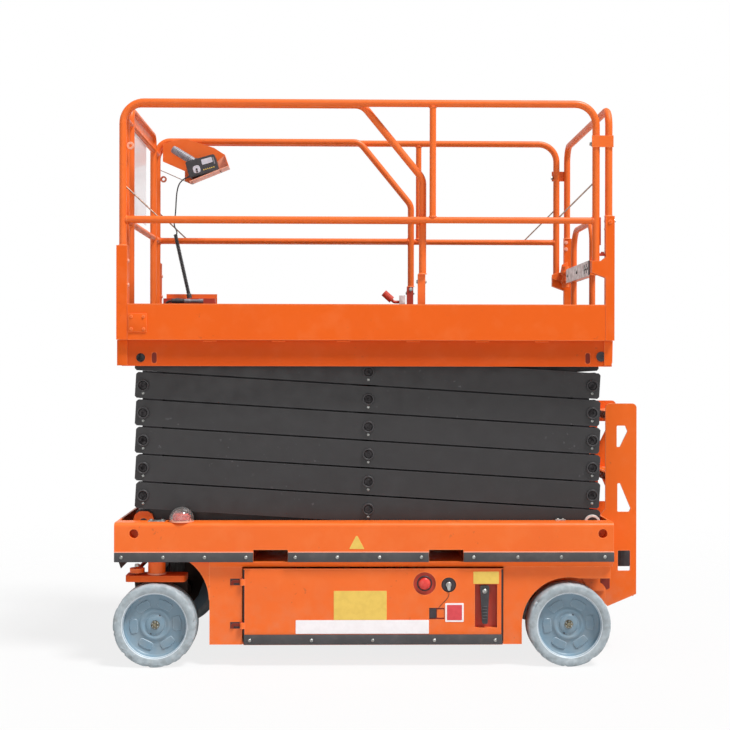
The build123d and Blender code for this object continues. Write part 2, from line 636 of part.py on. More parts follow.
with BuildPart() as platform_frame:
    box(PLATE_X, (-570, 570), (FLOOR_LOW, FLOOR_TOP))
    for side_name, side in SIDES:
        box((PLATFORM_FRONT + 20, PLATFORM_REAR - 5), mirrored(side, FRAME_OUT - SHEET, FRAME_OUT), (FRAME_LOW, FLOOR_LOW))
        box((PLATFORM_FRONT + 20, PLATFORM_REAR - 5), mirrored(side, FRAME_OUT - 50, FRAME_OUT), (FRAME_LOW, FRAME_LOW + 8))
        box(TRACK_X, mirrored(side, OUTER_IN, FRAME_OUT - SHEET), (RAIL_SLIDE_Z, RAIL_SLIDE_Z + 12))
        box(TRACK_X, mirrored(side, OUTER_OUT + 4, OUTER_OUT + 14), (RAIL_SLIDE_Z + 12, FLOOR_LOW))
        y_web = mirrored(side, FRAME_OUT - SHEET - 1, FRAME_OUT + 1)
        round_bar(PIVOT_X, TOP_PIVOT_Z, *y_web, PIN_R + PIN_FIT, Mode.SUBTRACT)
        round_bar(CENTRE_X + half_run + 26, TOP_PIVOT_Z + 8, *y_web, 21.0, Mode.SUBTRACT)
        for x_slot in (PIVOT_X + 62, CENTRE_X + half_run - 36):
            box((x_slot - 11, x_slot + 11), y_web, (TOP_PIVOT_Z - 25, TOP_PIVOT_Z + 24), Mode.SUBTRACT)
    for x_end in (PLATFORM_FRONT + 20, PLATFORM_REAR - 15):
        box((x_end, x_end + SHEET), (-FRAME_OUT, FRAME_OUT), (FRAME_LOW, FLOOR_LOW))
save("platform_frame", platform_frame)

GATE_X = 1015.0
GATE_HALF = 250.0
GATE_HINGE_Y = 512.0
GATE_PLATE_END = 375.0
GATE_PLATE_Z = (1818.0, 1890.0)
with BuildPart() as toe_boards:
    for side_name, side in SIDES:
        box(PLATE_X, mirrored(side, 570, PLATFORM_OUT), (FLOOR_LOW, TOE_TOP))
        box(PLATE_X, mirrored(side, 552, PLATFORM_OUT), (TOE_TOP - 8, TOE_TOP))
        box((PLATFORM_FRONT, PLATFORM_FRONT + 50), mirrored(side, *STANCHION_Y), (FLOOR_TOP, FRONT_STANCHION_TOP))
        box(REAR_STANCHION_X, mirrored(side, *STANCHION_Y), (FLOOR_TOP, REAR_STANCHION_TOP))
        box((PLATFORM_REAR - 8, PLATFORM_REAR), mirrored(side, 300, PLATFORM_OUT), (FLOOR_TOP, TOE_TOP))
        side_plate(
            (
                (REAR_STANCHION_X[0], 1787),
                (REAR_STANCHION_X[0], 1880),
                (992, 1863.5),
                (950, 1863.5),
                (950, 1811),
            ),
            *mirrored(side, *STANCHION_Y),
        )
save("toe_boards", toe_boards)

RAIL_FRONT_X = -1197.6
RAIL_REAR_X = 972.3
BALUSTER_X = 220.5
for side_name, side in SIDES:
    y_rail = side * RAIL_Y
    with BuildPart() as side_rail:
        tube(
            (
                (RAIL_FRONT_X, y_rail, FRONT_STANCHION_TOP),
                (RAIL_FRONT_X, y_rail, RAIL_Z),
                (RAIL_REAR_X, y_rail, RAIL_Z),
                (RAIL_REAR_X, y_rail, 1863.5),
            ),
            RAIL_R,
            RAIL_BEND,
        )
        tube(((RAIL_FRONT_X, y_rail, MID_Z), (RAIL_REAR_X, y_rail, MID_Z)), MID_R)
        tube(((BALUSTER_X, y_rail, MID_Z), (BALUSTER_X, y_rail, RAIL_Z)), MID_R)
        tube(((RAIL_FRONT_X, y_rail, 2212), (RAIL_FRONT_X + 172, y_rail, MID_Z)), 3.5)
        tube(((RAIL_REAR_X, y_rail, 2235), (RAIL_REAR_X - 185, y_rail, MID_Z)), 3.5)
    save(f"side_rail_{side_name}", side_rail)

HOOP_X = 1031.0
HOOP_Z = 2566.0
with BuildPart() as rear_hoop:
    tube(
        (
            (HOOP_X, -RAIL_Y, REAR_STANCHION_TOP),
            (HOOP_X, -RAIL_Y, HOOP_Z),
            (HOOP_X, RAIL_Y, HOOP_Z),
            (HOOP_X, RAIL_Y, REAR_STANCHION_TOP),
        ),
        RAIL_R,
        80,
    )
    for side_name, side in SIDES:
        box((950, HOOP_X + 18), mirrored(side, RAIL_Y + 14, RAIL_Y + 21), (2386, 2439))
        with BuildSketch(Plane.XY.offset(2380)):
            with Locations((RAIL_REAR_X, side * RAIL_Y)):
                Circle(RAIL_R + 0.3)
        extrude(amount=70, mode=Mode.SUBTRACT)
save("rear_hoop", rear_hoop)

GATE_TOP = 2094.0
with BuildPart() as entry_gate:
    tube(
        (
            (GATE_X, -GATE_HALF, 1540),
            (GATE_X, -GATE_HALF, GATE_TOP - MID_R),
            (GATE_X, GATE_HALF, GATE_TOP - MID_R),
            (GATE_X, GATE_HALF, 1540),
        ),
        MID_R,
        100,
    )
    box((GATE_X - 3, GATE_X + 3), (-GATE_HALF - 20, GATE_HALF + 20), (1530, TOE_TOP - 10))
    box((GATE_X - 20, GATE_X + 20), (-GATE_HALF - 33, GATE_PLATE_END), GATE_PLATE_Z)
    for z_strap in (GATE_PLATE_Z[0] + 12, GATE_PLATE_Z[1] - 12):
        box((GATE_X - 6, GATE_X + 6), (GATE_PLATE_END, GATE_HINGE_Y), (z_strap - 10, z_strap + 10))
    with BuildSketch(Plane.XY.offset(1805)):
        with Locations((GATE_X, GATE_HINGE_Y)):
            Circle(20)
    extrude(amount=110)
save("entry_gate", entry_gate)

# ---------------------------------------------------------------- extension deck
EXT_X = (-1218.0, 190.0)
EXT_Y = 524.0
EXT_LOW = 1512.0
EXT_FLOOR = 1522.0
EXT_TOE = 1645.0
EXT_RAIL_Y = 518.0
EXT_FRONT_X = -1192.0
EXT_REAR_X = 176.6
with BuildPart() as extension_deck:
    box(EXT_X, (-EXT_Y, EXT_Y), (EXT_LOW, EXT_FLOOR))
    box((EXT_X[0], EXT_X[0] + 8), (-EXT_Y, EXT_Y), (EXT_LOW, EXT_TOE))
    for side_name, side in SIDES:
        box(EXT_X, mirrored(side, EXT_Y - 6, EXT_Y), (EXT_LOW, EXT_TOE))
        box((EXT_REAR_X - 22, EXT_REAR_X + 13), mirrored(side, EXT_RAIL_Y - 17, EXT_Y), (EXT_FLOOR, 1804))
save("extension_deck", extension_deck)

for side_name, side in SIDES:
    y_rail = side * EXT_RAIL_Y
    with BuildPart() as extension_rail:
        tube(
            (
                (EXT_FRONT_X, y_rail, EXT_TOE),
                (EXT_FRONT_X, y_rail, RAIL_Z),
                (-102, y_rail, RAIL_Z),
                (EXT_REAR_X, y_rail, 2245),
                (EXT_REAR_X, y_rail, 1804),
            ),
            RAIL_R,
            70,
        )
        tube(((EXT_FRONT_X, y_rail, MID_Z), (EXT_REAR_X, y_rail, MID_Z)), MID_R)
    save(f"extension_rail_{side_name}", extension_rail)

FRONT_POST_Y = 370.0
FRONT_LINK_Z = 2512.0
with BuildPart() as front_rail:
    tube(
        (
            (EXT_FRONT_X, -FRONT_POST_Y, EXT_FLOOR),
            (EXT_FRONT_X, -FRONT_POST_Y, RAIL_Z),
            (EXT_FRONT_X, FRONT_POST_Y, RAIL_Z),
            (EXT_FRONT_X, FRONT_POST_Y, EXT_FLOOR),
        ),
        RAIL_R,
        45,
    )
    y_link = EXT_RAIL_Y - RAIL_R
    for z_link in (MID_Z, FRONT_LINK_Z):
        tube(((EXT_FRONT_X, -y_link, z_link), (EXT_FRONT_X, y_link, z_link)), MID_R)
    box((EXT_FRONT_X - 3, EXT_FRONT_X + 3), (-FRONT_POST_Y, FRONT_POST_Y), (FRONT_LINK_Z, RAIL_Z))
save("front_rail", front_rail)

with BuildPart() as sign_board:
    box((EXT_FRONT_X - 2, EXT_FRONT_X + 2), (-345, 100), (2090, 2496))
save("sign_board", sign_board)

# control station hung on the far rail of the extension
CONTROL_Y = 500.0
with BuildPart() as control_bracket:
    side_plate(
        (
            (-1160, 2567), (-1068, 2594), (-1031, 2594), (-885, 2548), (-826, 2510),
            (-799, 2433), (-1004, 2350), (-1042, 2371), (-1042, 2422), (-1160, 2473),
        ),
        CONTROL_Y - 5,
        CONTROL_Y,
    )
    # lip that the control box stands over
    side_plate(((-1004, 2350), (-799, 2433), (-800.5, 2437), (-1005.5, 2354)), CONTROL_Y - 112, CONTROL_Y)
    side_plate(((-799, 2433), (-826, 2510), (-829.5, 2508), (-803, 2432)), CONTROL_Y - 30, CONTROL_Y)
save("control_bracket", control_bracket)

BOX_TILT = 16.0
BOX_C = (-940.0, 2436.0)
BOX_SIZE = (160.0, 88.0)
box_x = (cos(radians(BOX_TILT)), 0, sin(radians(BOX_TILT)))
box_face = Plane(origin=(BOX_C[0], CONTROL_Y - 105, BOX_C[1]), x_dir=box_x, z_dir=(0, -1, 0))
with BuildPart() as control_box:
    with BuildSketch(box_face):
        RectangleRounded(*BOX_SIZE, 10)
    extrude(amount=-100)
save("control_box", control_box)

GRIP_FOOT = (-974.0, CONTROL_Y - 55, 2456.5)
GRIP_AIM = (-0.856, 0, 0.517)
GRIP_R = 19.0
GRIP_LENGTH = 152.0
with BuildPart() as control_grip:
    with BuildSketch(Plane(origin=GRIP_FOOT, z_dir=GRIP_AIM)):
        Circle(GRIP_R)
    extrude(amount=GRIP_LENGTH)
    fillet(control_grip.edges().sort_by(Axis.Z)[-1], radius=8)
    with BuildSketch(box_face):
        RectangleRounded(*BOX_SIZE, 10)
    extrude(amount=-100, mode=Mode.SUBTRACT)
save("control_grip", control_grip)

FLOOR_BOX_TOP = 1735.0
FLOOR_PLATE_TOP = 1761.0
with BuildPart() as floor_box:
    box((-1150, -874), (440, EXT_Y - 24), (EXT_FLOOR, FLOOR_BOX_TOP))
    fillet(floor_box.edges().filter_by(Axis.Z), radius=8)
    box((-1140, -868), (EXT_Y - 24, EXT_Y - 20), (EXT_FLOOR, FLOOR_PLATE_TOP))
save("floor_box", floor_box)

HANDLE_Y = -500.0
HANDLE_TIP = (-2.0, 1719.0)
HANDLE_BEND = (46.0, 1676.0)
HANDLE_END = (90.0, 1676.0)
HANDLE_GRIP_R = 16.0
with BuildPart() as deck_handle:
    # bent lever with a grip on its free end, a stop lug and a foot on the deck
    tube(
        (
            (HANDLE_TIP[0], HANDLE_Y, HANDLE_TIP[1]),
            (HANDLE_BEND[0], HANDLE_Y, HANDLE_BEND[1]),
            (HANDLE_END[0], HANDLE_Y, HANDLE_END[1]),
        ),
        7,
        14,
    )
    grip_run = Vector(HANDLE_BEND[0] - HANDLE_TIP[0], 0, HANDLE_BEND[1] - HANDLE_TIP[1])
    with BuildSketch(Plane(origin=(HANDLE_TIP[0], HANDLE_Y, HANDLE_TIP[1]), z_dir=grip_run)):
        Circle(HANDLE_GRIP_R)
    extrude(amount=grip_run.length - 14)
    box((HANDLE_END[0] - 20, HANDLE_END[0] + 7), (HANDLE_Y - 15, HANDLE_Y + 15), (HANDLE_END[1] - 12, HANDLE_END[1] + 30))
    box((HANDLE_END[0] - 14, HANDLE_END[0] + 1), (HANDLE_Y - 6, HANDLE_Y + 6), (EXT_FLOOR, HANDLE_END[1]))
save("deck_handle", deck_handle)

# control cable: a thin lead out of the station, a curly stretch, and a plug on the floor box
CORD_R = 3.5
COIL_R = 11.0
CORD_ROUTE = (
    (-1008.6, 445.0, 2385.1),
    (-1030.0, 445.0, 2379.0),
    (-1052.0, 445.5, 2365.0),
    (-1069.0, 446.0, 2341.0),
    (-1078.0, 447.0, 2306.0),
    (-1082.0, 448.0, 2262.0),
    (-1084.0, 449.0, 2215.0),
    (-1088.0, 450.0, 2168.0),
    (-1095.0, 450.0, 2128.0),
    (-1090.0, 452.0, 2090.0),
)
COIL_TOP = (-1090.0, 452.0, 2090.0)
COIL_END = (-1018.0, 468.3, 1764.1)


def corner_radii(route):
    """Bend radius at each inner point: 0.45 of the shorter run over the tangent of half the turn."""
    radii = []
    for before, point, after in zip(route, route[1:], route[2:]):
        run_in = Vector(*point) - Vector(*before)
        run_out = Vector(*after) - Vector(*point)
        half_turn = radians(run_in.get_angle(run_out)) / 2
        radii.append(0.45 * min(run_in.length, run_out.length) / (sin(half_turn) / cos(half_turn)))
    return radii


cord_radii = corner_radii(CORD_ROUTE)
print("cord radii", [round(radius) for radius in cord_radii])
with BuildPart() as control_cord:
    with BuildLine() as cord_path:
        FilletPolyline(*CORD_ROUTE, radius=cord_radii)
    cord_wire = cord_path.wires()[0]
    with BuildSketch(Plane(origin=cord_wire @ 0, z_dir=cord_wire % 0)):
        Circle(CORD_R)
    sweep(path=cord_wire)
save("control_cord", control_cord)
print("cord length", round(cord_wire.length), "volume ratio", control_cord.part.volume / (cord_wire.length * 3.14159 * CORD_R**2))

coil_run = Vector(*COIL_END) - Vector(*COIL_TOP)
coil_plane = Plane(origin=COIL_TOP, z_dir=coil_run)
with BuildPart() as cord_coil:
    with BuildSketch(coil_plane):
        Circle(COIL_R)
    extrude(amount=coil_run.length)
save("cord_coil", cord_coil)

with BuildPart() as cord_plug:
    with BuildSketch(coil_plane.offset(coil_run.length)):
        Circle(14)
    extrude(amount=60)
    box((-1100, -900), (400, 560), (FLOOR_BOX_TOP - 80, FLOOR_BOX_TOP), Mode.SUBTRACT)
save("cord_plug", cord_plug)
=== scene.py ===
import json
from math import atan2, cos, hypot, pi, radians, sin

import bmesh
import bpy
from mathutils import Matrix, Vector, noise


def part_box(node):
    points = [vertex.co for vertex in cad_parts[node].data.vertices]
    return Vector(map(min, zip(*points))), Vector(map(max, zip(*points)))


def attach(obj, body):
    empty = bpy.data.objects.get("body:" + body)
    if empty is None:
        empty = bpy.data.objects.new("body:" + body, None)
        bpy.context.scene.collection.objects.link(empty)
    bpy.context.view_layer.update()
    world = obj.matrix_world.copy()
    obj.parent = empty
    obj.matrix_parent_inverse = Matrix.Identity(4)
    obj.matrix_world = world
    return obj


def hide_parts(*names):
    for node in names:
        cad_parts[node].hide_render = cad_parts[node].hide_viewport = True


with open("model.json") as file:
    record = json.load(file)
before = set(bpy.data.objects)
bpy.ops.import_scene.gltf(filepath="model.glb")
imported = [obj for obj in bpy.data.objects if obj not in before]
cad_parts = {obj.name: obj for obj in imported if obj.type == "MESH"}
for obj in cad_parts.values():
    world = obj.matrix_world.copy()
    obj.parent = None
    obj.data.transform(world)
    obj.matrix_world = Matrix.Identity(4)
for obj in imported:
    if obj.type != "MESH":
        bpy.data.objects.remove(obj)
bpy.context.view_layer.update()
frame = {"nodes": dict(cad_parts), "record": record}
nodes = frame["nodes"]
MM = 0.001
NEAR, FAR = -1, 1
SIDES = (("near", NEAR), ("far", FAR))


# ---------------------------------------------------------------- camera
def look_from(place, yaw, pitch, roll, lens):
    """A level camera: yaw to the right of +Y, pitch up, roll clockwise, in degrees."""
    data = bpy.data.cameras.new("camera")
    data.lens = lens
    data.sensor_width = 36.0
    eye = bpy.data.objects.new("camera", data)
    bpy.context.scene.collection.objects.link(eye)
    turn = Matrix.Rotation(radians(-yaw), 4, "Z") @ Matrix.Rotation(radians(90 + pitch), 4, "X")
    eye.matrix_world = Matrix.Translation(place) @ turn @ Matrix.Rotation(radians(roll), 4, "Z")
    bpy.context.scene.camera = eye


# six metres from the near side, a little behind the middle and at the height of the platform's floor
EYE_PLACE = (-0.1945, -6.585, 1.402)
look_from(EYE_PLACE, yaw=1.0, pitch=-0.17, roll=0.1, lens=64.75)


# ---------------------------------------------------------------- material kit
def paint_hex(code):
    """sRGB hex to linear RGBA."""
    out = []
    for i in (0, 2, 4):
        c = int(code[i:i + 2], 16) / 255
        out.append(c / 12.92 if c <= 0.04045 else ((c + 0.055) / 1.055) ** 2.4)
    return (*out, 1.0)


def put(tree, kind, settings=None, **links):
    """Adds one node; settings are its properties or sockets, links are sockets fed from other nodes."""
    node = tree.nodes.new(kind)
    for key, value in (settings or {}).items():
        if isinstance(key, str) and hasattr(node, key):
            setattr(node, key, value)
        else:
            node.inputs[key].default_value = value
    for key, source in links.items():
        if isinstance(source, tuple):
            source = source[0].outputs[source[1]]
        else:
            source = source.outputs[0]
        socket = int(key[1:]) if key[0] == "i" and key[1:].isdigit() else key.replace("_", " ")
        tree.links.new(source, node.inputs[socket])
    return node


def finish_named(name, colour, rough, metallic=0.0, ior=1.5, coat=0.0):
    """A material with its shader, and object coordinates in metres that stay with the piece."""
    mat = bpy.data.materials.new(name)
    mat.use_nodes = True
    tree = mat.node_tree
    shader = tree.nodes["Principled BSDF"]
    shader.inputs["Base Color"].default_value = paint_hex(colour)
    shader.inputs["Roughness"].default_value = rough
    shader.inputs["Metallic"].default_value = metallic
    shader.inputs["Coat Weight"].default_value = coat
    if not metallic:
        shader.inputs["IOR"].default_value = ior
    place = put(tree, "ShaderNodeTexCoord")
    return mat, tree, shader, (place, "Object")


def patches(tree, place, size_mm, low, high, detail=3.0):
    """Soft patches about size_mm wide, from 0 to 1 between two noise levels."""
    field = put(tree, "ShaderNodeTexNoise", {"Scale": 1000.0 / size_mm, "Detail": detail}, Vector=place)
    return put(tree, "ShaderNodeMapRange", {1: low, 2: high}, Value=field)


def blended(tree, colour, other, amount):
    """Colour towards another colour, where amount says; either may be a node."""
    mix = put(tree, "ShaderNodeMix", {"data_type": "RGBA"}, Factor=amount)
    for socket, value in ((6, colour), (7, other)):
        if isinstance(value, str):
            mix.inputs[socket].default_value = paint_hex(value)
        else:
            tree.links.new(value.outputs[2], mix.inputs[socket])
    return mix


def grain(tree, shader, place, size_mm, depth_mm, strength):
    """A bump about size_mm wide and depth_mm deep."""
    field = put(tree, "ShaderNodeTexNoise", {"Scale": 1000.0 / size_mm, "Detail": 2.0}, Vector=place)
    bump = put(tree, "ShaderNodeBump", {"Strength": strength, "Distance": depth_mm * MM}, Height=field)
    tree.links.new(bump.outputs["Normal"], shader.inputs["Normal"])


def edges(tree, reach_mm, low, high):
    """1 on corners and folded edges, 0 on flat faces: how far the rounded normal leaves the true one."""
    soft = put(tree, "ShaderNodeBevel", {"samples": 4, "Radius": reach_mm * MM})
    true = put(tree, "ShaderNodeNewGeometry")
    dot = put(tree, "ShaderNodeVectorMath", {"operation": "DOT_PRODUCT"}, i0=soft, i1=(true, "Normal"))
    return put(tree, "ShaderNodeMapRange", {1: high, 2: low}, Value=(dot, "Value"))


def scaled(tree, a, b):
    """Two masks multiplied; b may be a number."""
    node = put(tree, "ShaderNodeMath", {"operation": "MULTIPLY"}, i0=a)
    if isinstance(b, (int, float)):
        node.inputs[1].default_value = b
    else:
        tree.links.new(b.outputs[0], node.inputs[1])
    return node


def powder_coated_steel(
        name, colour, deep, chalk, bare, rough=0.42, dust="B9A48C", dusty=0.35, edge_wear_and_highlight=0.5, shine=0.5):
    """Sheet steel with an oven-cured coat: orange-peel gloss, paler edges that are partly rubbed wear and
    partly painted highlight, and dust low down.
    """
    mat, tree, shader, place = finish_named(name, colour, rough)
    shader.inputs["Specular IOR Level"].default_value = shine
    faded = blended(tree, colour, deep, scaled(tree, patches(tree, place, 420, 0.42, 0.7), 0.4))
    chalky = blended(tree, faded, chalk, scaled(tree, patches(tree, place, 90, 0.5, 0.8, 5.0), 0.1))
    # edges paled towards the chalk colour: partly rubbed wear, partly painted highlight along edges that
    # catch the light
    wear_and_highlight_mask = scaled(tree, edges(tree, 5.0, 0.86, 0.995), edge_wear_and_highlight)
    wear_and_highlight_colour = blended(tree, chalky, chalk, wear_and_highlight_mask)
    scuffed = scaled(tree, patches(tree, place, 22, 0.66, 0.7, 6.0), patches(tree, place, 260, 0.52, 0.62))
    chipped = blended(tree, wear_and_highlight_colour, bare, scaled(tree, scuffed, 0.3))
    height = put(tree, "ShaderNodeSeparateXYZ", Vector=place)
    low = put(tree, "ShaderNodeMapRange", {1: 0.42, 2: 0.08}, Value=(height, 2))
    grimy = scaled(tree, scaled(tree, low, patches(tree, place, 55, 0.38, 0.68, 6.0)), dusty)
    dusted = blended(tree, chipped, dust, grimy)
    tree.links.new(dusted.outputs[2], shader.inputs["Base Color"])
    uneven = patches(tree, place, 60, 0.3, 0.7)
    sheen = put(tree, "ShaderNodeMapRange", {3: rough - 0.07, 4: rough + 0.12}, Value=uneven)
    tree.links.new(sheen.outputs[0], shader.inputs["Roughness"])
    # orange peel is about 2 mm across, drawn at 5 mm so that it shows
    grain(tree, shader, place, 5.0, 0.25, 0.25)
    return mat


def rubber(name, colour, pale, dirt, rough, grain_mm, patch_mm, dirty):
    """Moulded rubber: matt, mottled, with a skin of fine pits."""
    mat, tree, shader, place = finish_named(name, colour, rough, ior=1.52)
    mottled = blended(tree, colour, pale, patches(tree, place, patch_mm, 0.42, 0.66, 5.0))
    soiled = blended(tree, mottled, dirt, scaled(tree, patches(tree, place, 34, 0.5, 0.72, 7.0), dirty))
    tree.links.new(soiled.outputs[2], shader.inputs["Base Color"])
    grain(tree, shader, place, grain_mm, 0.5, 0.35)
    return mat


def metal(name, colour, deep, rough, patch_mm, spangle_mm=0.0, peel=0.15):
    """Bare or plated metal: clear reflections broken by fine variation of its gloss."""
    mat, tree, shader, place = finish_named(name, colour, rough, metallic=1.0)
    tone = blended(tree, colour, deep, patches(tree, place, patch_mm, 0.4, 0.66, 4.0))
    if spangle_mm:
        cells = put(tree, "ShaderNodeTexVoronoi", {"Scale": 1000.0 / spangle_mm}, Vector=place)
        grey = put(tree, "ShaderNodeSeparateXYZ", Vector=(cells, "Color"))
        tone = blended(tree, tone, deep, scaled(tree, grey, 0.6))
    tree.links.new(tone.outputs[2], shader.inputs["Base Color"])
    uneven = patches(tree, place, 18, 0.3, 0.7)
    gloss = put(tree, "ShaderNodeMapRange", {3: rough * 0.8, 4: rough * 1.35}, Value=uneven)
    tree.links.new(gloss.outputs[0], shader.inputs["Roughness"])
    grain(tree, shader, place, 3.0, 0.1, peel)
    return mat


def vinyl(name, colour, worn):
    """Printed label film: flat, faintly glossy, with a little fading and lifted dust."""
    mat, tree, shader, place = finish_named(name, colour, 0.35, ior=1.48, coat=0.25)
    tone = blended(tree, colour, worn, scaled(tree, patches(tree, place, 25, 0.4, 0.7, 4.0), 0.6))
    tree.links.new(tone.outputs[2], shader.inputs["Base Color"])
    grain(tree, shader, place, 8.0, 0.15, 0.15)
    return mat


def moulded_plastic(name, colour, pale, rough):
    """Injection-moulded ABS: spark-eroded texture, slightly paler where hands rub it."""
    mat, tree, shader, place = finish_named(name, colour, rough, ior=1.53)
    tone = blended(tree, colour, pale, scaled(tree, patches(tree, place, 30, 0.45, 0.7, 5.0), 0.5))
    handled = blended(tree, tone, pale, scaled(tree, edges(tree, 2.5, 0.86, 0.99), 0.6))
    tree.links.new(handled.outputs[2], shader.inputs["Base Color"])
    grain(tree, shader, place, 1.6, 0.12, 0.35)
    return mat


def clear_polycarbonate(name):
    """Moulded lens: clear, hard and glossy, with a few hairline scratches in its gloss."""
    mat, tree, shader, place = finish_named(name, "FFFDFB", 0.03, ior=1.49)
    shader.inputs["Transmission Weight"].default_value = 0.95
    scratched = patches(tree, place, 9, 0.45, 0.75, 6.0)
    gloss = put(tree, "ShaderNodeMapRange", {3: 0.02, 4: 0.07}, Value=scratched)
    tree.links.new(gloss.outputs[0], shader.inputs["Roughness"])
    return mat


# the machine's main coat: saturated orange with a soft sheen, paler on its folds, partly where hands and
# boots rub them and partly as painted highlight
ORANGE = powder_coated_steel(
    "orange_powder_coat", "EE6A1A", "E66216", "FBA36B", "8A4A2C", dusty=0.16, shine=0.42)
# toe boards: a flatter and redder batch of the same coat
TOE_ORANGE = powder_coated_steel(
    "orange_platform_coat", "EA5F06", "E25905", "FBA36B", "8A4A2C", rough=0.5, shine=0.25)
# side channels under the toe boards: a darker copy of the same coat, painted shade under the toe boards'
# overhang
SHADED_CHANNEL_ORANGE = powder_coated_steel(
    "shaded_orange_coat", "D8520C", "CC490A", "EE8A58", "8A4A2C", rough=0.55, shine=0.2)
# ladder: sun-bleached, matt, pale along every edge, partly scraped and partly painted highlight
LADDER_ORANGE = powder_coated_steel(
    "sun_faded_orange_coat", "EE6810", "E6620E", "F3A47C", "8A4A2C", rough=0.5, dust="C2AE9C", dusty=0.3,
    edge_wear_and_highlight=0.8, shine=0.3)
# inside of the wheel arches: almost black-brown and quite matt, painted shade in place of the orange steel
# there
ARCH_SHADE_DARK = powder_coated_steel(
    "painted_arch_shade", "2C1B13", "24150F", "4A3428", "57504C", rough=0.6, dust="523C2E", dusty=0.4,
    edge_wear_and_highlight=0.25, shine=0.3)
# thin wire stays: weathered, neither bright nor rusty
STAY_ROPE = metal("dulled_stay_rope", "A58A7C", "7E685C", 0.5, 12)
# the stack's enamel is thin and dark, its edges paler, partly scrapes from its neighbours and partly painted
# highlight
ARM_ENAMEL = powder_coated_steel(
    "charcoal_enamel", "232122", "1D1B1C", "504E52", "77757A", rough=0.44, dust="8E8078", dusty=0.25,
    edge_wear_and_highlight=0.6)
# drives, axles and masses: oily black under road dust
DRIVE_PAINT = powder_coated_steel(
    "black_chassis_enamel", "232224", "1B1A1C", "4A494C", "6B6460", rough=0.5, dust="8A7A68", dusty=0.6,
    edge_wear_and_highlight=0.4)
# wheels: glossy blue-grey enamel, polished nearly white on the lip that the tyre rubs
LIP_PAINT = powder_coated_steel(
    "rubbed_wheel_lip_enamel", "C6D1D8", "B4C1CA", "E6ECEF", "9A9EA0", rough=0.28, dust="A9A39A", dusty=0.2,
    edge_wear_and_highlight=0.8)
DISC_PAINT = powder_coated_steel(
    "blue_grey_wheel_enamel", "7590A1", "667F91", "A9BECC", "5E6668", rough=0.36, dust="A9A39A", dusty=0.25,
    edge_wear_and_highlight=0.7)
# solid tyres: grey non-marking rubber, chalky and mottled
TYRE_RUBBER = rubber("non_marking_tyre_rubber", "9BA6AC", "AEB8BD", "6E7270", 0.7, 3.0, 26, 0.45)
# edge strips: extruded black rubber gone grey outdoors
STRIP_RUBBER = rubber("extruded_strip_rubber", "3A393B", "454446", "5E5A57", 0.5, 2.5, 120, 0.25)
# leads and hoses: smooth soft PVC, faintly shiny
CABLE_PVC = rubber("black_cable_sheath", "1E1E20", "2C2C2F", "4A4845", 0.45, 1.5, 20, 0.3)
# electroplated zinc is satin and slightly dull; hot-dip galvanising shows its spangle, tinted pink by a
# painted reflection of the orange coat around it
ZINC_PLATE = metal("zinc_plated_fastener", "B4B5B2", "8C8D89", 0.36, 20)
GALVANISED_PINK_REFLECTION = metal("galvanised_sheet_pink_reflection", "CDBFBC", "A08F8D", 0.42, 40, 11.0)
# cylinder rods: hard chrome, the one mirror on the machine
CHROME = metal("hard_chromed_rod", "E4E6E8", "C9CCD0", 0.09, 300, peel=0.03)
# pin ends: heat-blackened steel with an oily dullness
PIN_STEEL = metal("blackened_pin_steel", "3C3A3B", "232122", 0.45, 15)
BRASS_NUT = metal("tarnished_hub_nut", "8F8A76", "4C483E", 0.4, 9)
# recesses and sheltered brackets: the orange coat darkened to a deep red, painted shade
RECESS_SHADE_RED = powder_coated_steel(
    "shaded_recess_coat", "B8331A", "A02A15", "D4664A", "6A2A1C", rough=0.5, dust="8A5A48", dusty=0.3,
    edge_wear_and_highlight=0.4)
# hinges, lugs and fork pockets: the same coat darkened nearly to brown, painted deep shade
DEEP_SHADE_BROWN = powder_coated_steel(
    "deep_shade_coat", "7A2212", "681A0E", "A8503A", "4A2018", rough=0.5, dust="5A4038", dusty=0.4, edge_wear_and_highlight=0.4,
    shine=0.3)
# folded edges and collars: a paler salmon pink copy of the coat, partly rubbed thin by hands and partly
# painted highlight where they catch the light
SALMON_HIGHLIGHT_EDGE = powder_coated_steel(
    "rubbed_and_highlit_orange_coat", "F09A78", "E98660", "F6C3AC", "B0A59E", rough=0.4, dusty=0.2, edge_wear_and_highlight=0.8)
# deck: grey anti-slip paint, pale round the tops of the lozenges, partly scuffs and partly painted highlight
DECK_STEEL = powder_coated_steel(
    "tread_plate_paint", "4B4A4C", "403F41", "8E8C89", "A8A5A0", rough=0.55, dust="9A8C7C", dusty=0.2,
    edge_wear_and_highlight=0.9)
# label films and cards: flat colour with a thin gloss
YELLOW_FILM = vinyl("yellow_label_film", "E8C457", "DBB54B")
WHITE_FILM = vinyl("white_label_film", "F4F1F3", "ECE8EA")
RED_FILM = vinyl("red_label_film", "D8414A", "C7343E")
# mouldings: matt textured ABS, a waxy nylon, and a glossy red for what is pressed or lit
ABS_BLACK = moulded_plastic("black_moulded_abs", "2A292C", "4A494D", 0.48)
ABS_GREY = moulded_plastic("silver_grey_moulded_grip", "7E7C84", "C9C6CC", 0.4)
NYLON = moulded_plastic("cast_nylon_roller", "C9C6C2", "E4E1DC", 0.4)
PALE_CARD = vinyl("pale_card_film", "D4D3DC", "B9B8C4")
ABS_RED = moulded_plastic("red_moulded_button", "D9332B", "EE6A5E", 0.3)
LENS_CLEAR = clear_polycarbonate("clear_beacon_lens")
LAMP_RED = moulded_plastic("red_lamp_reflector", "BE2410", "E0562E", 0.25)
SOCKET_DARK = moulded_plastic("dark_socket_moulding", "241C22", "3A3036", 0.55)

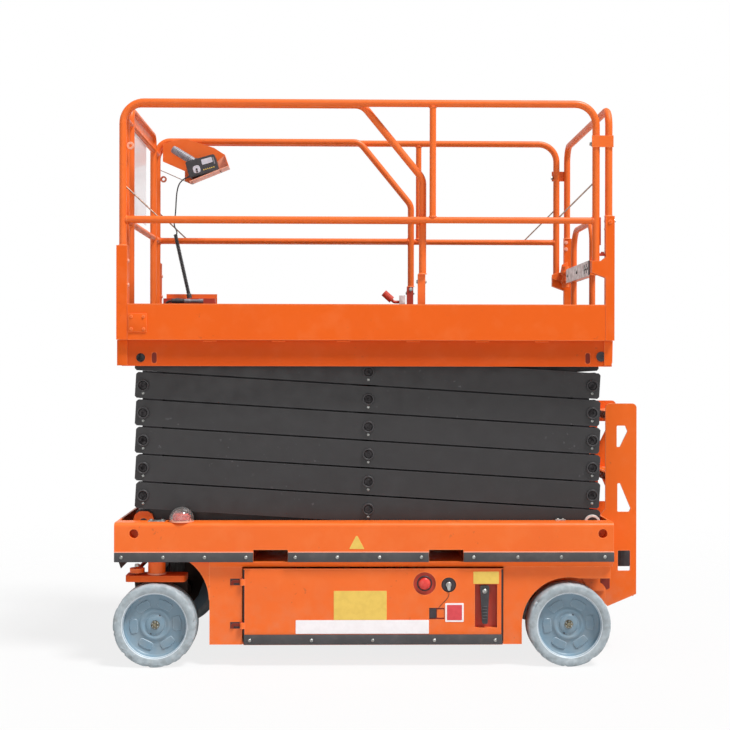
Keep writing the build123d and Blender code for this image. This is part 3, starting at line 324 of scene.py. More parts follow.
# the record's slots, each with the finish that its plain nodes get and the others that belong to it
SLOT_FINISH = {
    "orange": ORANGE, "arm_grey": ARM_ENAMEL, "dark": DRIVE_PAINT, "tyre": TYRE_RUBBER, "rim": DISC_PAINT,
    "plastic": ABS_BLACK, "chrome": CHROME, "white": WHITE_FILM, "lens": LENS_CLEAR, "red": ABS_RED,
    "zinc": ZINC_PLATE, "cable": CABLE_PVC,
}
SLOT_OTHERS = {
    "orange": (LADDER_ORANGE, TOE_ORANGE, SHADED_CHANNEL_ORANGE, DEEP_SHADE_BROWN, RECESS_SHADE_RED, SALMON_HIGHLIGHT_EDGE),
    "dark": (PIN_STEEL, DECK_STEEL, ARCH_SHADE_DARK), "rim": (LIP_PAINT,), "plastic": (STRIP_RUBBER, SOCKET_DARK),
    "white": (YELLOW_FILM, PALE_CARD), "red": (RED_FILM, LAMP_RED),
    "zinc": (GALVANISED_PINK_REFLECTION, ABS_GREY, NYLON, STAY_ROPE, BRASS_NUT),
}
FINISH_SLOT = {finish: slot for slot, finish in SLOT_FINISH.items()}
FINISH_SLOT.update({finish: slot for slot, finishes in SLOT_OTHERS.items() for finish in finishes})


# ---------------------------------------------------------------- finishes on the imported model
def dress(node, finish):
    """Gives a CAD node its finish."""
    data = nodes[node].data
    data.materials.clear()
    data.materials.append(finish)


def dress_part(node, finish, chosen):
    """Gives the faces of a CAD node whose centre is chosen, in millimetres, a finish of their own."""
    data = nodes[node].data
    data.materials.append(finish)
    for face in data.polygons:
        if chosen(*(face.center / MM)):
            face.material_index = len(data.materials) - 1


for entry in frame["record"]["subparts"]:
    dress(entry["node"], SLOT_FINISH[entry["material_slot"]])
dress("toe_boards", TOE_ORANGE)
dress("ladder", LADDER_ORANGE)
# the channel faces get the darker orange that paints the toe boards' shade
dress("platform_frame", SHADED_CHANNEL_ORANGE)
# the wheel arches' inside, painted near-black as the shade in them
ARCH_X = -790
ARCH_Y = 554.5
dress_part("arch_sheets", ARCH_SHADE_DARK, lambda x, y, z: x < ARCH_X and abs(y) < ARCH_Y)
dress_part("chassis_frame", ARCH_SHADE_DARK, lambda x, y, z: x < ARCH_X and abs(y) < ARCH_Y and z < 482)
for side_name, _ in SIDES:
    # the inside of the fork pockets in the brown of painted deep shade, and the thin stays in the corners of
    # the side rails
    dress_part(f"side_box_{side_name}", DEEP_SHADE_BROWN, lambda x, y, z: (
        abs(y) < 584 and 486 < z < 545 and (-602 < x < -438 or 202 < x < 366)))
    dress_part(f"side_rail_{side_name}", STAY_ROPE, lambda x, y, z: (
        2066.5 < z < 2245 and (-1180 < x < -1020 or 780 < x < 955)))


# ---------------------------------------------------------------- shapes
def fresh(count):
    """Several empty meshes."""
    return [bmesh.new() for _ in range(count)]


def solid(name, mesh, finish, body, smooth=35):
    """Makes a piece from finished mesh code and lets it ride on its body."""
    data = bpy.data.meshes.new(name)
    bmesh.ops.recalc_face_normals(mesh, faces=mesh.faces)
    mesh.to_mesh(data)
    mesh.free()
    data.materials.append(finish)
    obj = bpy.data.objects.new(name, data)
    bpy.context.scene.collection.objects.link(obj)
    data.shade_smooth()
    data.set_sharp_from_angle(angle=radians(smooth))
    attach(obj, body)
    return obj


def block(mesh, low, high, edge=1.0, steps=1):
    """A block between two corners in millimetres with softened edges, added to a mesh."""
    made = bmesh.ops.create_cube(mesh, size=1.0)["verts"]
    size = [abs(b - a) for a, b in zip(low, high)]
    centre = [(a + b) / 2 for a, b in zip(low, high)]
    bmesh.ops.scale(mesh, vec=Vector(size) * MM, verts=made)
    lines = list(dict.fromkeys(line for v in made for line in v.link_edges))
    if edge:
        made = bmesh.ops.bevel(
            mesh, geom=lines, offset=edge * MM, segments=steps, affect="EDGES", profile=0.5)["verts"]
        made = list(dict.fromkeys(corner for v in made for face in v.link_faces for corner in face.verts))
    bmesh.ops.translate(mesh, vec=Vector(centre) * MM, verts=made)


def facing(direction):
    """The turn that takes +Z to a direction."""
    return Vector(direction).normalized().to_track_quat("Z", "Y").to_matrix().to_4x4()


def turned(mesh, place, direction, profile, sides=24):
    """A lathe shape: a profile of (radius, height) pairs in millimetres, turned about an axis."""
    frame_at = Matrix.Translation(Vector(place) * MM) @ facing(direction)
    rings = []
    for radius, height in profile:
        if radius <= 0:
            rings.append([mesh.verts.new(frame_at @ Vector((0, 0, height * MM)))])
        else:
            around = [2 * pi * k / sides for k in range(sides)]
            rings.append([
                mesh.verts.new(frame_at @ Vector((radius * MM * cos(a), radius * MM * sin(a), height * MM)))
                for a in around
            ])
    for low, high in zip(rings, rings[1:]):
        for k in range(sides):
            a, b = low[k % len(low)], low[(k + 1) % len(low)]
            c, d = high[(k + 1) % len(high)], high[k % len(high)]
            corners = [v for i, v in enumerate((a, b, c, d)) if v not in (a, b, c, d)[:i]]
            if len(corners) > 2:
                mesh.faces.new(corners)


def stub(radius, tall):
    """The profile of a plain round stub."""
    return ((0, 0), (radius, 0), (radius, tall), (0, tall))


def bolt(mesh, place, direction, across, tall, washer):
    """A hexagon head with a chamfered top on a round washer."""
    half = across / 2 / cos(pi / 6)
    turned(mesh, place, direction, ((0, 0), (washer, 0), (washer, 1.6), (half * 0.8, 1.6), (0, 1.6)), 18)
    turned(mesh, place, direction, (
        (0, 1.4), (half, 1.4), (half, tall - 1), (half * 0.86, tall), (0, tall)), 6)


def button(mesh, place, direction, radius, tall):
    """A button-head screw with a hexagon socket."""
    dome = [(radius * cos(a), tall * sin(a)) for a in (0, 0.35, 0.7, 1.05)]
    turned(mesh, place, direction, (
        (0, -0.5), (radius, -0.5), *dome, (radius * 0.42, tall * 0.88), (radius * 0.36, tall * 0.3),
        (0, tall * 0.3),
    ), 14)


def slab(mesh, outline, near, far, edge=1.0, plane="XZ"):
    """A plate cut to an outline in millimetres, from near to far across it."""
    axes = {"XZ": lambda u, v, w: (u, w, v), "YZ": lambda u, v, w: (w, u, v)}[plane]
    sides = [[mesh.verts.new(Vector(axes(u, v, w)) * MM) for u, v in outline] for w in (near, far)]
    faces = [mesh.faces.new(side) for side in sides]
    count = len(outline)
    faces += [
        mesh.faces.new((sides[0][k], sides[0][(k + 1) % count], sides[1][(k + 1) % count], sides[1][k]))
        for k in range(count)
    ]
    bmesh.ops.recalc_face_normals(mesh, faces=faces)
    if edge:
        rims = [line for face in faces[:2] for line in face.edges]
        bmesh.ops.bevel(mesh, geom=rims, offset=edge * MM, segments=1, affect="EDGES")


def rounded(x, z, radius, steps=4):
    """The outline of a rectangle with rounded corners: x and z are its low and high sides."""
    out = []
    low_x, high_x, low_z, high_z = x[0] + radius, x[1] - radius, z[0] + radius, z[1] - radius
    for cx, cz, start in ((high_x, high_z, 0), (low_x, high_z, 1), (low_x, low_z, 2), (high_x, low_z, 3)):
        for k in range(steps + 1):
            a = (start + k / steps) * pi / 2
            out.append((cx + radius * cos(a), cz + radius * sin(a)))
    return out


def pipe(name, points, radius, finish, body):
    """A hose or thin bar along one smooth line that points in millimetres pull, turned to a mesh."""
    curve = bpy.data.curves.new(name, "CURVE")
    curve.dimensions = "3D"
    curve.bevel_depth = radius * MM
    curve.bevel_resolution = 3
    curve.use_fill_caps = True
    line = curve.splines.new("NURBS")
    line.points.add(len(points) - 1)
    for spot, point in zip(line.points, points):
        spot.co = (*(Vector(point) * MM), 1)
    line.order_u = 3
    line.use_endpoint_u = True
    curve.resolution_u = 8
    carrier = bpy.data.objects.new(name + "_line", curve)
    bpy.context.scene.collection.objects.link(carrier)
    data = bpy.data.meshes.new_from_object(carrier.evaluated_get(bpy.context.evaluated_depsgraph_get()))
    bpy.data.objects.remove(carrier)
    data.name = name
    data.materials.clear()
    data.materials.append(finish)
    obj = bpy.data.objects.new(name, data)
    bpy.context.scene.collection.objects.link(obj)
    data.shade_smooth()
    data.set_sharp_from_angle(angle=radians(50))
    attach(obj, body)


# ---------------------------------------------------------------- control cable
# a thin lead hangs from the control station, then a curly stretch runs down to a plug on the floor box
LEAD_ROUTE = (
    (-1.0086, 0.4450, 2.3851), (-1.0300, 0.4450, 2.3790), (-1.0520, 0.4455, 2.3650),
    (-1.0690, 0.4460, 2.3410), (-1.0780, 0.4470, 2.3060), (-1.0820, 0.4480, 2.2620),
    (-1.0840, 0.4490, 2.2150), (-1.0880, 0.4500, 2.1680), (-1.0950, 0.4500, 2.1280),
)
CURLY_AXIS = ((-1.0900, 0.4520, 2.0900), (-1.0540, 0.4602, 1.9270), (-1.0180, 0.4683, 1.7641))
CABLE_D = 0.007
CURL_R = 0.0073
CURL_PITCH = 0.0082
CURL_POINTS = 14
LEAD_BEND = 0.012


def nurbs_line(name, points, thick=0.0):
    """A curve object of one smooth open spline through the pull of its points, in metres."""
    data = bpy.data.curves.new(name, "CURVE")
    data.dimensions = "3D"
    data.resolution_u = 6
    data.bevel_depth = thick / 2
    data.bevel_resolution = 3
    data.use_fill_caps = bool(thick)
    line = data.splines.new("NURBS")
    line.points.add(len(points) - 1)
    for spot, point in zip(line.points, points):
        spot.co = (*point, 1)
    line.order_u = 3
    line.use_endpoint_u = True
    obj = bpy.data.objects.new(name, data)
    bpy.context.scene.collection.objects.link(obj)
    return obj


def line_points(obj):
    """The points along a curve that has no thickness; the curve is used up."""
    bpy.context.view_layer.update()
    mesh = bpy.data.meshes.new_from_object(obj.evaluated_get(bpy.context.evaluated_depsgraph_get()))
    points = [v.co.copy() for v in mesh.vertices]
    bpy.data.objects.remove(obj)
    bpy.data.meshes.remove(mesh)
    return points


def curl_about(axis):
    """Helix points round an axis given as close points, from its start to its end."""
    steps = [(b - a).length for a, b in zip(axis, axis[1:])]
    along = sum(steps)
    count = int(along / CURL_PITCH * CURL_POINTS)
    out = []
    for k in range(count + 1):
        left = along * k / count
        i = 0
        while i < len(steps) - 1 and left > steps[i]:
            left -= steps[i]
            i += 1
        way = (axis[i + 1] - axis[i]).normalized()
        side = way.cross(Vector((0, 1, 0))).normalized()
        up = side.cross(way)
        turn = 2 * pi * k / CURL_POINTS
        out.append(axis[i] + way * left + (side * cos(turn) + up * sin(turn)) * CURL_R)
    return out


axis_points = line_points(nurbs_line("curly_axis", LEAD_ROUTE + CURLY_AXIS))
curly_points = [p for p in axis_points if p.z < CURLY_AXIS[0][2]]
helix = curl_about(curly_points)
# the lead comes down beside the coil and turns into its first turn in an easy bend
side_step = helix[0] - (helix[1] - helix[0]).normalized() * LEAD_BEND
cable_route = [*LEAD_ROUTE, side_step + Vector((0, 0, LEAD_BEND)), side_step, *helix]
cable = nurbs_line("control_cable", cable_route, CABLE_D)
cable.data.materials.append(CABLE_PVC)
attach(cable, "extension")
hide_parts("control_cord", "cord_coil")
cable_run = line_points(nurbs_line("cable_run", cable_route))

# moulded end of the curly stretch, standing on the floor box
plug_top = Vector(CURLY_AXIS[-1])
plug_way = (plug_top - Vector(CURLY_AXIS[0])).normalized()
shell = bmesh.new()
turned(shell, plug_top / MM, plug_way, (
    (0, -6), (8.5, -6), (9.5, -4), (9.5, 2), (12.5, 5), (13.4, 8), (13.4, 11), (12.4, 12), (13.4, 13),
    (13.4, 16), (12.4, 17), (13.4, 18), (13.4, 21), (12.4, 22), (14, 24), (14, 27), (0, 27),
), 28)
plug = solid("cable_plug", shell, ABS_BLACK, "extension")
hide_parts("cord_plug")

# ---------------------------------------------------------------- chassis
SIDE_FACE = -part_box("side_box_near")[0].y / MM      # outer face of the side boxes
FRONT_X, REAR_X = (corner.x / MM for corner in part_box("chassis_frame"))
STRIP_Z = (483.0, 526.0)
STRIP_SCREW_Z = 505.0
STRIP_PROUD = 7.0
# low X, high X and the screws' places of each length of strip, which the fork pockets part
STRIPS = (
    (FRONT_X + 1, -599.5, (-1200, -1010, -821, -632)),
    (-440.5, 204.5, (-407, -215, -22, 170)),
    (363.5, REAR_X + 1, (410, 612, 812, 1012)),
)


def strip_screw(mesh, x, face, side, z):
    """A button screw that holds a rubber strip to a face."""
    button(mesh, (x, side * (face + STRIP_PROUD - 0.5), z), (0, side, 0), 8.5, 5.0)


for side_name, side in SIDES:
    strips, lips, screws = fresh(3)
    for low_x, high_x, places in STRIPS:
        back, front = side * (SIDE_FACE - 0.5), side * (SIDE_FACE + STRIP_PROUD)
        block(strips, (low_x, back, STRIP_Z[0]), (high_x, front, STRIP_Z[1]), 2.0, 2)
        # pale lip over each strip: the salmon copy of the coat, painted highlight along its lit top edge
        block(lips, (low_x, back, STRIP_Z[1] - 0.5), (high_x, side * (SIDE_FACE + 4), STRIP_Z[1] + 4), 1.0)
        for x in places:
            strip_screw(screws, x, SIDE_FACE, side, STRIP_SCREW_Z)
    solid(f"side_strips_{side_name}", strips, STRIP_RUBBER, "chassis")
    solid(f"strip_lips_{side_name}", lips, SALMON_HIGHLIGHT_EDGE, "chassis")
    solid(f"strip_screws_{side_name}", screws, ZINC_PLATE, "chassis")

# doors: a rubber strip along the foot, hinge pins at the front edge in the deep red of painted shade
DOOR_FACE = 566.0
DOOR_X = (-644.5, 545.5)
DOOR_STRIP_Z = (102.0, 148.0)
DOOR_SCREWS = (-616, -333, -52, 231, 511)
HINGE_Z = (189, 388)
for side_name, side in SIDES:
    door = f"door_{side_name}"
    strip, screws, pins = fresh(3)
    block(
        strip, (DOOR_X[0] + 2.5, side * (DOOR_FACE - 0.5), DOOR_STRIP_Z[0]),
        (DOOR_X[1] - 2.5, side * (DOOR_FACE + STRIP_PROUD), DOOR_STRIP_Z[1]), 2.0, 2)
    for x in DOOR_SCREWS:
        strip_screw(screws, x, DOOR_FACE, side, 122)
    for z in HINGE_Z:
        turned(pins, (-652, side * DOOR_FACE, z - 17), (0, 0, 1), (
            (0, 0), (5, 0), (6, 1), (6, 33), (5, 34), (0, 34)), 16)
    solid(f"door_strip_{side_name}", strip, STRIP_RUBBER, door)
    solid(f"door_strip_screws_{side_name}", screws, ZINC_PLATE, door)
    solid(f"door_hinge_pins_{side_name}", pins, RECESS_SHADE_RED, door)

# blank plates on the near door, each as low X, high X, low Z, high Z and film
DOOR_PLATES = (
    ("door_plate_yellow", -231, 12, 215, 348, YELLOW_FILM),
    ("door_plate_white", -405, 206, 151, 214, WHITE_FILM),
    ("socket_plate_border", 281, 366, 205, 291, WHITE_FILM),
    ("latch_plate_yellow", 410, 528, 380, 436, YELLOW_FILM),
)
for plate_name, low_x, high_x, low_z, high_z, film in DOOR_PLATES:
    plate = bmesh.new()
    slab(plate, rounded((low_x, high_x), (low_z, high_z), 3, 2), -(DOOR_FACE + 1.2), -(DOOR_FACE - 0.4), 0.3)
    solid(plate_name, plate, film, "door_near")
inset = bmesh.new()
slab(inset, rounded((289, 358), (213, 283), 2, 2), -(DOOR_FACE + 1.8), -(DOOR_FACE + 1.0), 0.2)
solid("socket_plate_red", inset, RED_FILM, "door_near")


def triangle(mesh, x, low_z, high_z, face, side, depth):
    """A blank triangular plate with clipped corners on a side face."""
    half = (high_z - low_z) * 0.58
    slab(mesh, (
        (x - half, low_z), (x + half, low_z), (x + half - 2, low_z + 5), (x + 4, high_z), (x - 4, high_z),
        (x - half + 2, low_z + 5),
    ), side * (face - 0.4), side * (face + depth), 0.3)


for side_name, side in SIDES:
    sign = bmesh.new()
    triangle(sign, -126, 542, 601, SIDE_FACE, side, 1.0)
    solid(f"triangle_plate_{side_name}", sign, YELLOW_FILM, "chassis")

# beacon: clear dome of 3 mm wall with a moulded foot, over a ribbed red core
beacon_low, beacon_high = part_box("beacon")
beacon_middle = (beacon_low + beacon_high) / 2 / MM
BEACON_FOOT = (beacon_middle.x, beacon_middle.y, beacon_low.z / MM)
BEACON_R = (beacon_high.x - beacon_low.x) / 2 / MM
DOME_TALL = beacon_high.z / MM - BEACON_FOOT[2]
DOME_SPRING = 11
DOME_WALL = 3
CORE_R = 38
dome, core, foot = fresh(3)
arc = [k / 10 * pi / 2 for k in range(10)]
INNER_R = BEACON_R - DOME_WALL
INNER_RISE = DOME_TALL - DOME_SPRING - DOME_WALL
outer = [(BEACON_R * cos(a), DOME_SPRING + (DOME_TALL - DOME_SPRING) * sin(a)) for a in arc]
inner = [(INNER_R * cos(a), DOME_SPRING + INNER_RISE * sin(a)) for a in arc]
turned(dome, BEACON_FOOT, (0, 0, 1), ((INNER_R, 6), (BEACON_R, 6), *outer, (0, DOME_TALL)), 40)
turned(dome, BEACON_FOOT, (0, 0, 1), ((0, DOME_TALL - DOME_WALL), *reversed(inner), (INNER_R, 6)), 40)
bmesh.ops.remove_doubles(dome, verts=dome.verts, dist=1e-6)
lens = solid("beacon_dome", dome, LENS_CLEAR, "chassis")
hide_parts("beacon")
turned(core, BEACON_FOOT, (0, 0, 1), ((0, 8), (40, 8), (40, 30), (38, 33), (34, 35), (32, 39), (0, 40)), 36)
for a in (2 * pi * k / 12 for k in range(12)):
    rib_foot = (BEACON_FOOT[0] + CORE_R * cos(a), BEACON_FOOT[1] + CORE_R * sin(a), BEACON_FOOT[2] + 10)
    turned(core, rib_foot, (0, 0, 1), stub(3, 21), 8)
solid("beacon_core", core, LAMP_RED, "chassis")
turned(foot, BEACON_FOOT, (0, 0, 1), (
    (0, 0), (BEACON_R - 1, 0), (BEACON_R, 1), (BEACON_R, 5), (BEACON_R - 2, 7), (BEACON_R - 5, 7), (0, 7),
), 40)
solid("beacon_foot", foot, SALMON_HIGHLIGHT_EDGE, "chassis")

# ---------------------------------------------------------------- scissor stack
LEVELS = 6
PIVOT = Vector((-1118.5, 0, 648.0))
HALF_RISE = 64.02
HALF_RUN = 1046.74
BOSS_Y = 472.0
PIN_Y = 470.0
NIPPLE_DROP = 37


def arm_joint(pin, collar, nipple, x, z, side):
    """A pivot seen from the side: blackened pin end in a collar, with a grease nipple under it."""
    turned(pin, (x, side * (PIN_Y - 2), z), (0, side, 0), (
        (0, 0), (19.0, 0), (19.0, 5.5), (17.5, 7), (7, 7), (6, 3), (0, 3)), 28)
    turned(collar, (x, side * (BOSS_Y - 3), z), (0, side, 0), (
        (20.6, 0), (27.6, 0), (27.6, 8.5), (26.2, 10), (22.0, 10), (20.6, 8.6), (20.6, 0),
    ), 28)
    turned(nipple, (x, side * 466.5, z - NIPPLE_DROP), (0, side, 0), (
        (0, 0), (6, 0), (6, 3), (3.2, 4), (3.2, 8), (4.2, 9.5), (2.5, 12), (0, 12)), 10)


for level in range(1, LEVELS + 1):
    joints = [("middle", level, PIVOT.x + HALF_RUN, PIVOT.z + (2 * level - 1) * HALF_RISE)]
    if level < LEVELS:
        joints.insert(0, ("left", level + 1, PIVOT.x, PIVOT.z + 2 * level * HALF_RISE))
    if level > 1:
        joints.append(("right", level - 1, PIVOT.x + 2 * HALF_RUN, PIVOT.z + (2 * level - 2) * HALF_RISE))
    collars, nipples = fresh(2)
    for place, inner_level, x, z in joints:
        pins = bmesh.new()
        for side in (NEAR, FAR):
            arm_joint(pins, collars, nipples, x, z, side)
        solid(f"pin_ends_{level}_{place}", pins, PIN_STEEL, f"inner_arms_{inner_level}")
    solid(f"pin_collars_{level}", collars, ARM_ENAMEL, f"outer_arms_{level}")
    solid(f"grease_nipples_{level}", nipples, ZINC_PLATE, f"outer_arms_{level}")

# ---------------------------------------------------------------- platform sides
TOP_PIN_Z = PIVOT.z + 2 * LEVELS * HALF_RISE
CHANNEL_FACE = 545.0
TOE_FACE = 580.0
SLOT_X = (PIVOT.x + 62, PIVOT.x + 2 * HALF_RUN - 36)
PLATE_BOLTS = ((-1155, 1604), (-1099, 1604), (-1155, 1547), (-1099, 1547))
for side_name, side in SIDES:
    caps, plugs, slot_bolts, plates, plate_bolts, slot_corners, liners, edging = fresh(8)
    turned(caps, (PIVOT.x, side * (CHANNEL_FACE - 1), TOP_PIN_Z), (0, side, 0), (
        (0, 0), (20, 0), (20, 3), (18, 4.5), (10, 4.5), (9, 2), (0, 2),
    ), 28)
    turned(plugs, (PIVOT.x + 2 * HALF_RUN + 26, side * (CHANNEL_FACE - 8), TOP_PIN_Z + 8), (0, side, 0), (
        (0, 0), (20.5, 0), (20.5, 8), (23, 8.5), (23, 10.5), (20, 11.5), (10, 11.5), (9, 7), (0, 7),
    ), 28)
    bolt(slot_bolts, (SLOT_X[0], side * (CHANNEL_FACE - 14), TOP_PIN_Z), (0, side, 0), 9, 5, 6.5)
    block(plates, (-1169, side * (TOE_FACE - 0.5), 1533), (-1085, side * (TOE_FACE + 5), 1618), 1.5, 2)
    for x, z in PLATE_BOLTS:
        bolt(plate_bolts, (x, side * (TOE_FACE + 5), z), (0, side, 0), 10, 4.5, 8)
    # upright slots in the channel: a lining in the brown of painted deep shade, and welds in the channel's
    # shaded orange that round their corners
    for x in SLOT_X:
        slab(
            liners, rounded((x - 10.5, x + 10.5), (TOP_PIN_Z - 24.5, TOP_PIN_Z + 23.5), 1, 2),
            side * (CHANNEL_FACE - 5), side * (CHANNEL_FACE - 3), 0.3)
        for z, up in ((TOP_PIN_Z - 25, 1), (TOP_PIN_Z + 24, -1)):
            for hand in (-1, 1):
                slab(slot_corners, [
                    (x + hand * across, z + up * rise)
                    for across, rise in ((11, 0), (4, 0), (8.5, 3.5), (11, 9))
                ], side * (CHANNEL_FACE - 3), side * (CHANNEL_FACE + 0.3), 0.2)
    solid(f"slot_liners_{side_name}", liners, DEEP_SHADE_BROWN, "platform")
    solid(f"slot_corner_welds_{side_name}", slot_corners, SHADED_CHANNEL_ORANGE, "platform")
    solid(f"top_pin_caps_{side_name}", caps, PIN_STEEL, f"outer_arms_{LEVELS}")
    solid(f"channel_plugs_{side_name}", plugs, SOCKET_DARK, "platform")
    solid(f"slot_bolts_{side_name}", slot_bolts, ZINC_PLATE, "platform")
    solid(f"bolted_plates_{side_name}", plates, TOE_ORANGE, "platform")
    solid(f"bolted_plate_bolts_{side_name}", plate_bolts, TOE_ORANGE, "platform")
    # folded edge along the toe board's top
    block(edging, (-1224, side * (TOE_FACE - 26), 1658.5), (1055, side * TOE_FACE, 1663), 1.5, 2)
    solid(f"toe_board_edge_{side_name}", edging, TOE_ORANGE, "platform")

# ---------------------------------------------------------------- wheels
TYRE_R = 190.5
RIM_R = 150.0
WHEEL_OUT = 585.0
TYRE_W = 127.0
SHOULDER_R = 12
NICK_START = 0.16
# a raised pad of the disc: radius and half angle round its outline
PAD = (
    (84, -0.3), (84, 0.3), (90, 0.36), (114, 0.31), (119, 0.25), (120, 0), (119, -0.25), (114, -0.31),
    (90, -0.36))
for wheel, side in (("front_near", NEAR), ("front_far", FAR), ("rear_near", NEAR), ("rear_far", FAR)):
    body = f"wheel_{wheel}"
    low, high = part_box(f"tyre_{wheel}")
    x = (low.x + high.x) / 2 / MM
    z = TYRE_R
    out = side * WHEEL_OUT
    axle = (0, side, 0)
    # solid tyre: rounded shoulders, a step at the sidewall and a nicked outer edge
    rubber_ring = bmesh.new()
    shoulder = [
        (TYRE_R - SHOULDER_R + SHOULDER_R * sin(a), -SHOULDER_R + SHOULDER_R * cos(a))
        for a in (0, 0.4, 0.8, 1.2, pi / 2)]
    back = [
        (TYRE_R - SHOULDER_R + SHOULDER_R * cos(a), -TYRE_W + SHOULDER_R - SHOULDER_R * sin(a))
        for a in (0, 0.5, 1.0, pi / 2)]
    turned(rubber_ring, (x, out, z), axle, (
        (RIM_R, -TYRE_W), (RIM_R, -3), (RIM_R + 2, -1), (RIM_R + 10, -1.2), (RIM_R + 12, -0.2),
        (TYRE_R - 22, 0), *shoulder, (TYRE_R, -TYRE_W / 2), *back, (RIM_R, -TYRE_W),
    ), 120)
    for v in rubber_ring.verts:
        reach = Vector((v.co.x - x * MM, v.co.z - z * MM))
        if reach.length > (TYRE_R - 8) * MM and abs(v.co.y) > (WHEEL_OUT - 16) * MM:
            nick = noise.noise(v.co * 45)
            if nick > NICK_START:
                bite = (nick - NICK_START) * 16 * MM
                v.co.y -= side * bite
                v.co.x -= reach.x / reach.length * bite * 0.7
                v.co.z -= reach.y / reach.length * bite * 0.7
    tyre = solid(f"solid_tyre_{wheel}", rubber_ring, TYRE_RUBBER, body, 50)
    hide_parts(f"tyre_{wheel}")
    # pressed disc: rim lip, dished face with six raised pads, hub ring, nut and two plugs
    disc, nut, lugs, plugs, lip = fresh(5)
    turned(disc, (x, out, z), axle, (
        (31, -120), (RIM_R - 0.2, -120), (RIM_R - 0.2, -3.4), (RIM_R - 2, -3), (RIM_R - 4, -4.5),
        (RIM_R - 6, -28), (RIM_R - 9, -38), (RIM_R - 14, -42), (78, -42), (73, -40), (70, -37), (60, -36),
        (56, -38), (53, -40), (46, -40), (42, -36), (39, -34), (22, -34), (20.5, -36), (0, -36), (0, -46),
        (31, -46), (31, -120),
    ), 72)
    for k in range(6):
        turn = k * pi / 3 + 0.07
        pad = [(x + r * cos(turn + swing), z + r * sin(turn + swing)) for r, swing in PAD]
        slab(disc, pad, out - side * 43, out - side * 38.5, 2.2)
    rim = solid(f"wheel_disc_{wheel}", disc, DISC_PAINT, body, 40)
    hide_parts(f"rim_{wheel}")
    turned(nut, (x, out - side * 35, z), axle, stub(19, 2.5), 24)
    turned(nut, (x, out - side * 33, z), axle, ((0, 0), (9, 0), (9, 8), (7.5, 9), (0, 9)), 16)
    for a in (k * pi / 3 + 0.5 for k in range(6)):
        turned(lugs, (x + 13.5 * cos(a), out - side * 33, z + 13.5 * sin(a)), axle, (
            (0, 0), (3.8, 0), (3.8, 5.5), (2.6, 7), (0, 7)), 8)
    solid(f"hub_nut_{wheel}", nut, BRASS_NUT, body)
    solid(f"hub_nut_lugs_{wheel}", lugs, ZINC_PLATE, body)
    for a in (1.12, 1.12 + pi):
        turned(plugs, (x + 46 * cos(a), out - side * 40.4, z + 46 * sin(a)), axle, stub(3.8, 2.5), 10)
    solid(f"hub_plugs_{wheel}", plugs, SOCKET_DARK, body)
    turned(lip, (x, out, z), axle, (
        (RIM_R - 6.5, -13), (RIM_R - 2.5, -3.2), (RIM_R - 0.5, -2.2), (RIM_R + 2.5, -1.4),
        (RIM_R + 2.5, -2.6), (RIM_R - 0.5, -4), (RIM_R - 5, -14), (RIM_R - 6.5, -13),
    ), 72)
    solid(f"wheel_lip_{wheel}", lip, LIP_PAINT, body, 60)

# the steered end: yokes and kingpin housings in the darker orange copy that paints shade, over drives in the
# near-black painted shade of the arches
YOKE_LOW_Z = 386
for side_name, side in SIDES:
    knuckle = f"knuckle_{side_name}"
    dress_part(knuckle, SHADED_CHANNEL_ORANGE, lambda x, y, z: z > YOKE_LOW_Z)
    dress_part(knuckle, ARCH_SHADE_DARK, lambda x, y, z: z <= YOKE_LOW_Z)
    heads = bmesh.new()
    bolt(heads, (-1139.5, side * 500, 452), (0, 0, 1), 20, 11, 14)
    solid(f"tie_pin_heads_{side_name}", heads, ZINC_PLATE, knuckle)
dress_part("front_axle", ORANGE, lambda x, y, z: abs(y) > 459 and z > 420)
dress("tie_rod", ORANGE)
rings, keeper = fresh(2)
for side in (NEAR, FAR):
    turned(rings, (-1049.5, side * 500, 415.6), (0, 0, 1), (
        (41, 0), (43, 0), (44.5, 1.5), (44.5, 6.5), (43, 8), (41, 8), (41, 0),
    ), 32)
solid("kingpin_thrust_rings", rings, SALMON_HIGHLIGHT_EDGE, "chassis")
block(keeper, (-1085, -545, 662), (-1007, -500, 668), 1.5, 2)
for x in (-1072, -1020):
    bolt(keeper, (x, -522, 668), (0, 0, 1), 13, 5, 9)
solid("pivot_keeper_plate", keeper, ZINC_PLATE, "chassis")

# ---------------------------------------------------------------- door fittings
WELL_X = (417.5, 520.0)
WELL_Z = (178.0, 377.5)
LATCH_X = (441.0, 484.0)
LATCH_Z = (196.0, 372.0)
HINGE_ARM = ((-702, -13), (-690, -13), (-690, -4), (-662, -4), (-662, 9), (-694, 9), (-702, 2))


def between(value, span, spare=0.0):
    """Whether a value lies inside a span, or past it by no more than spare."""
    return span[0] - spare < value < span[1] + spare


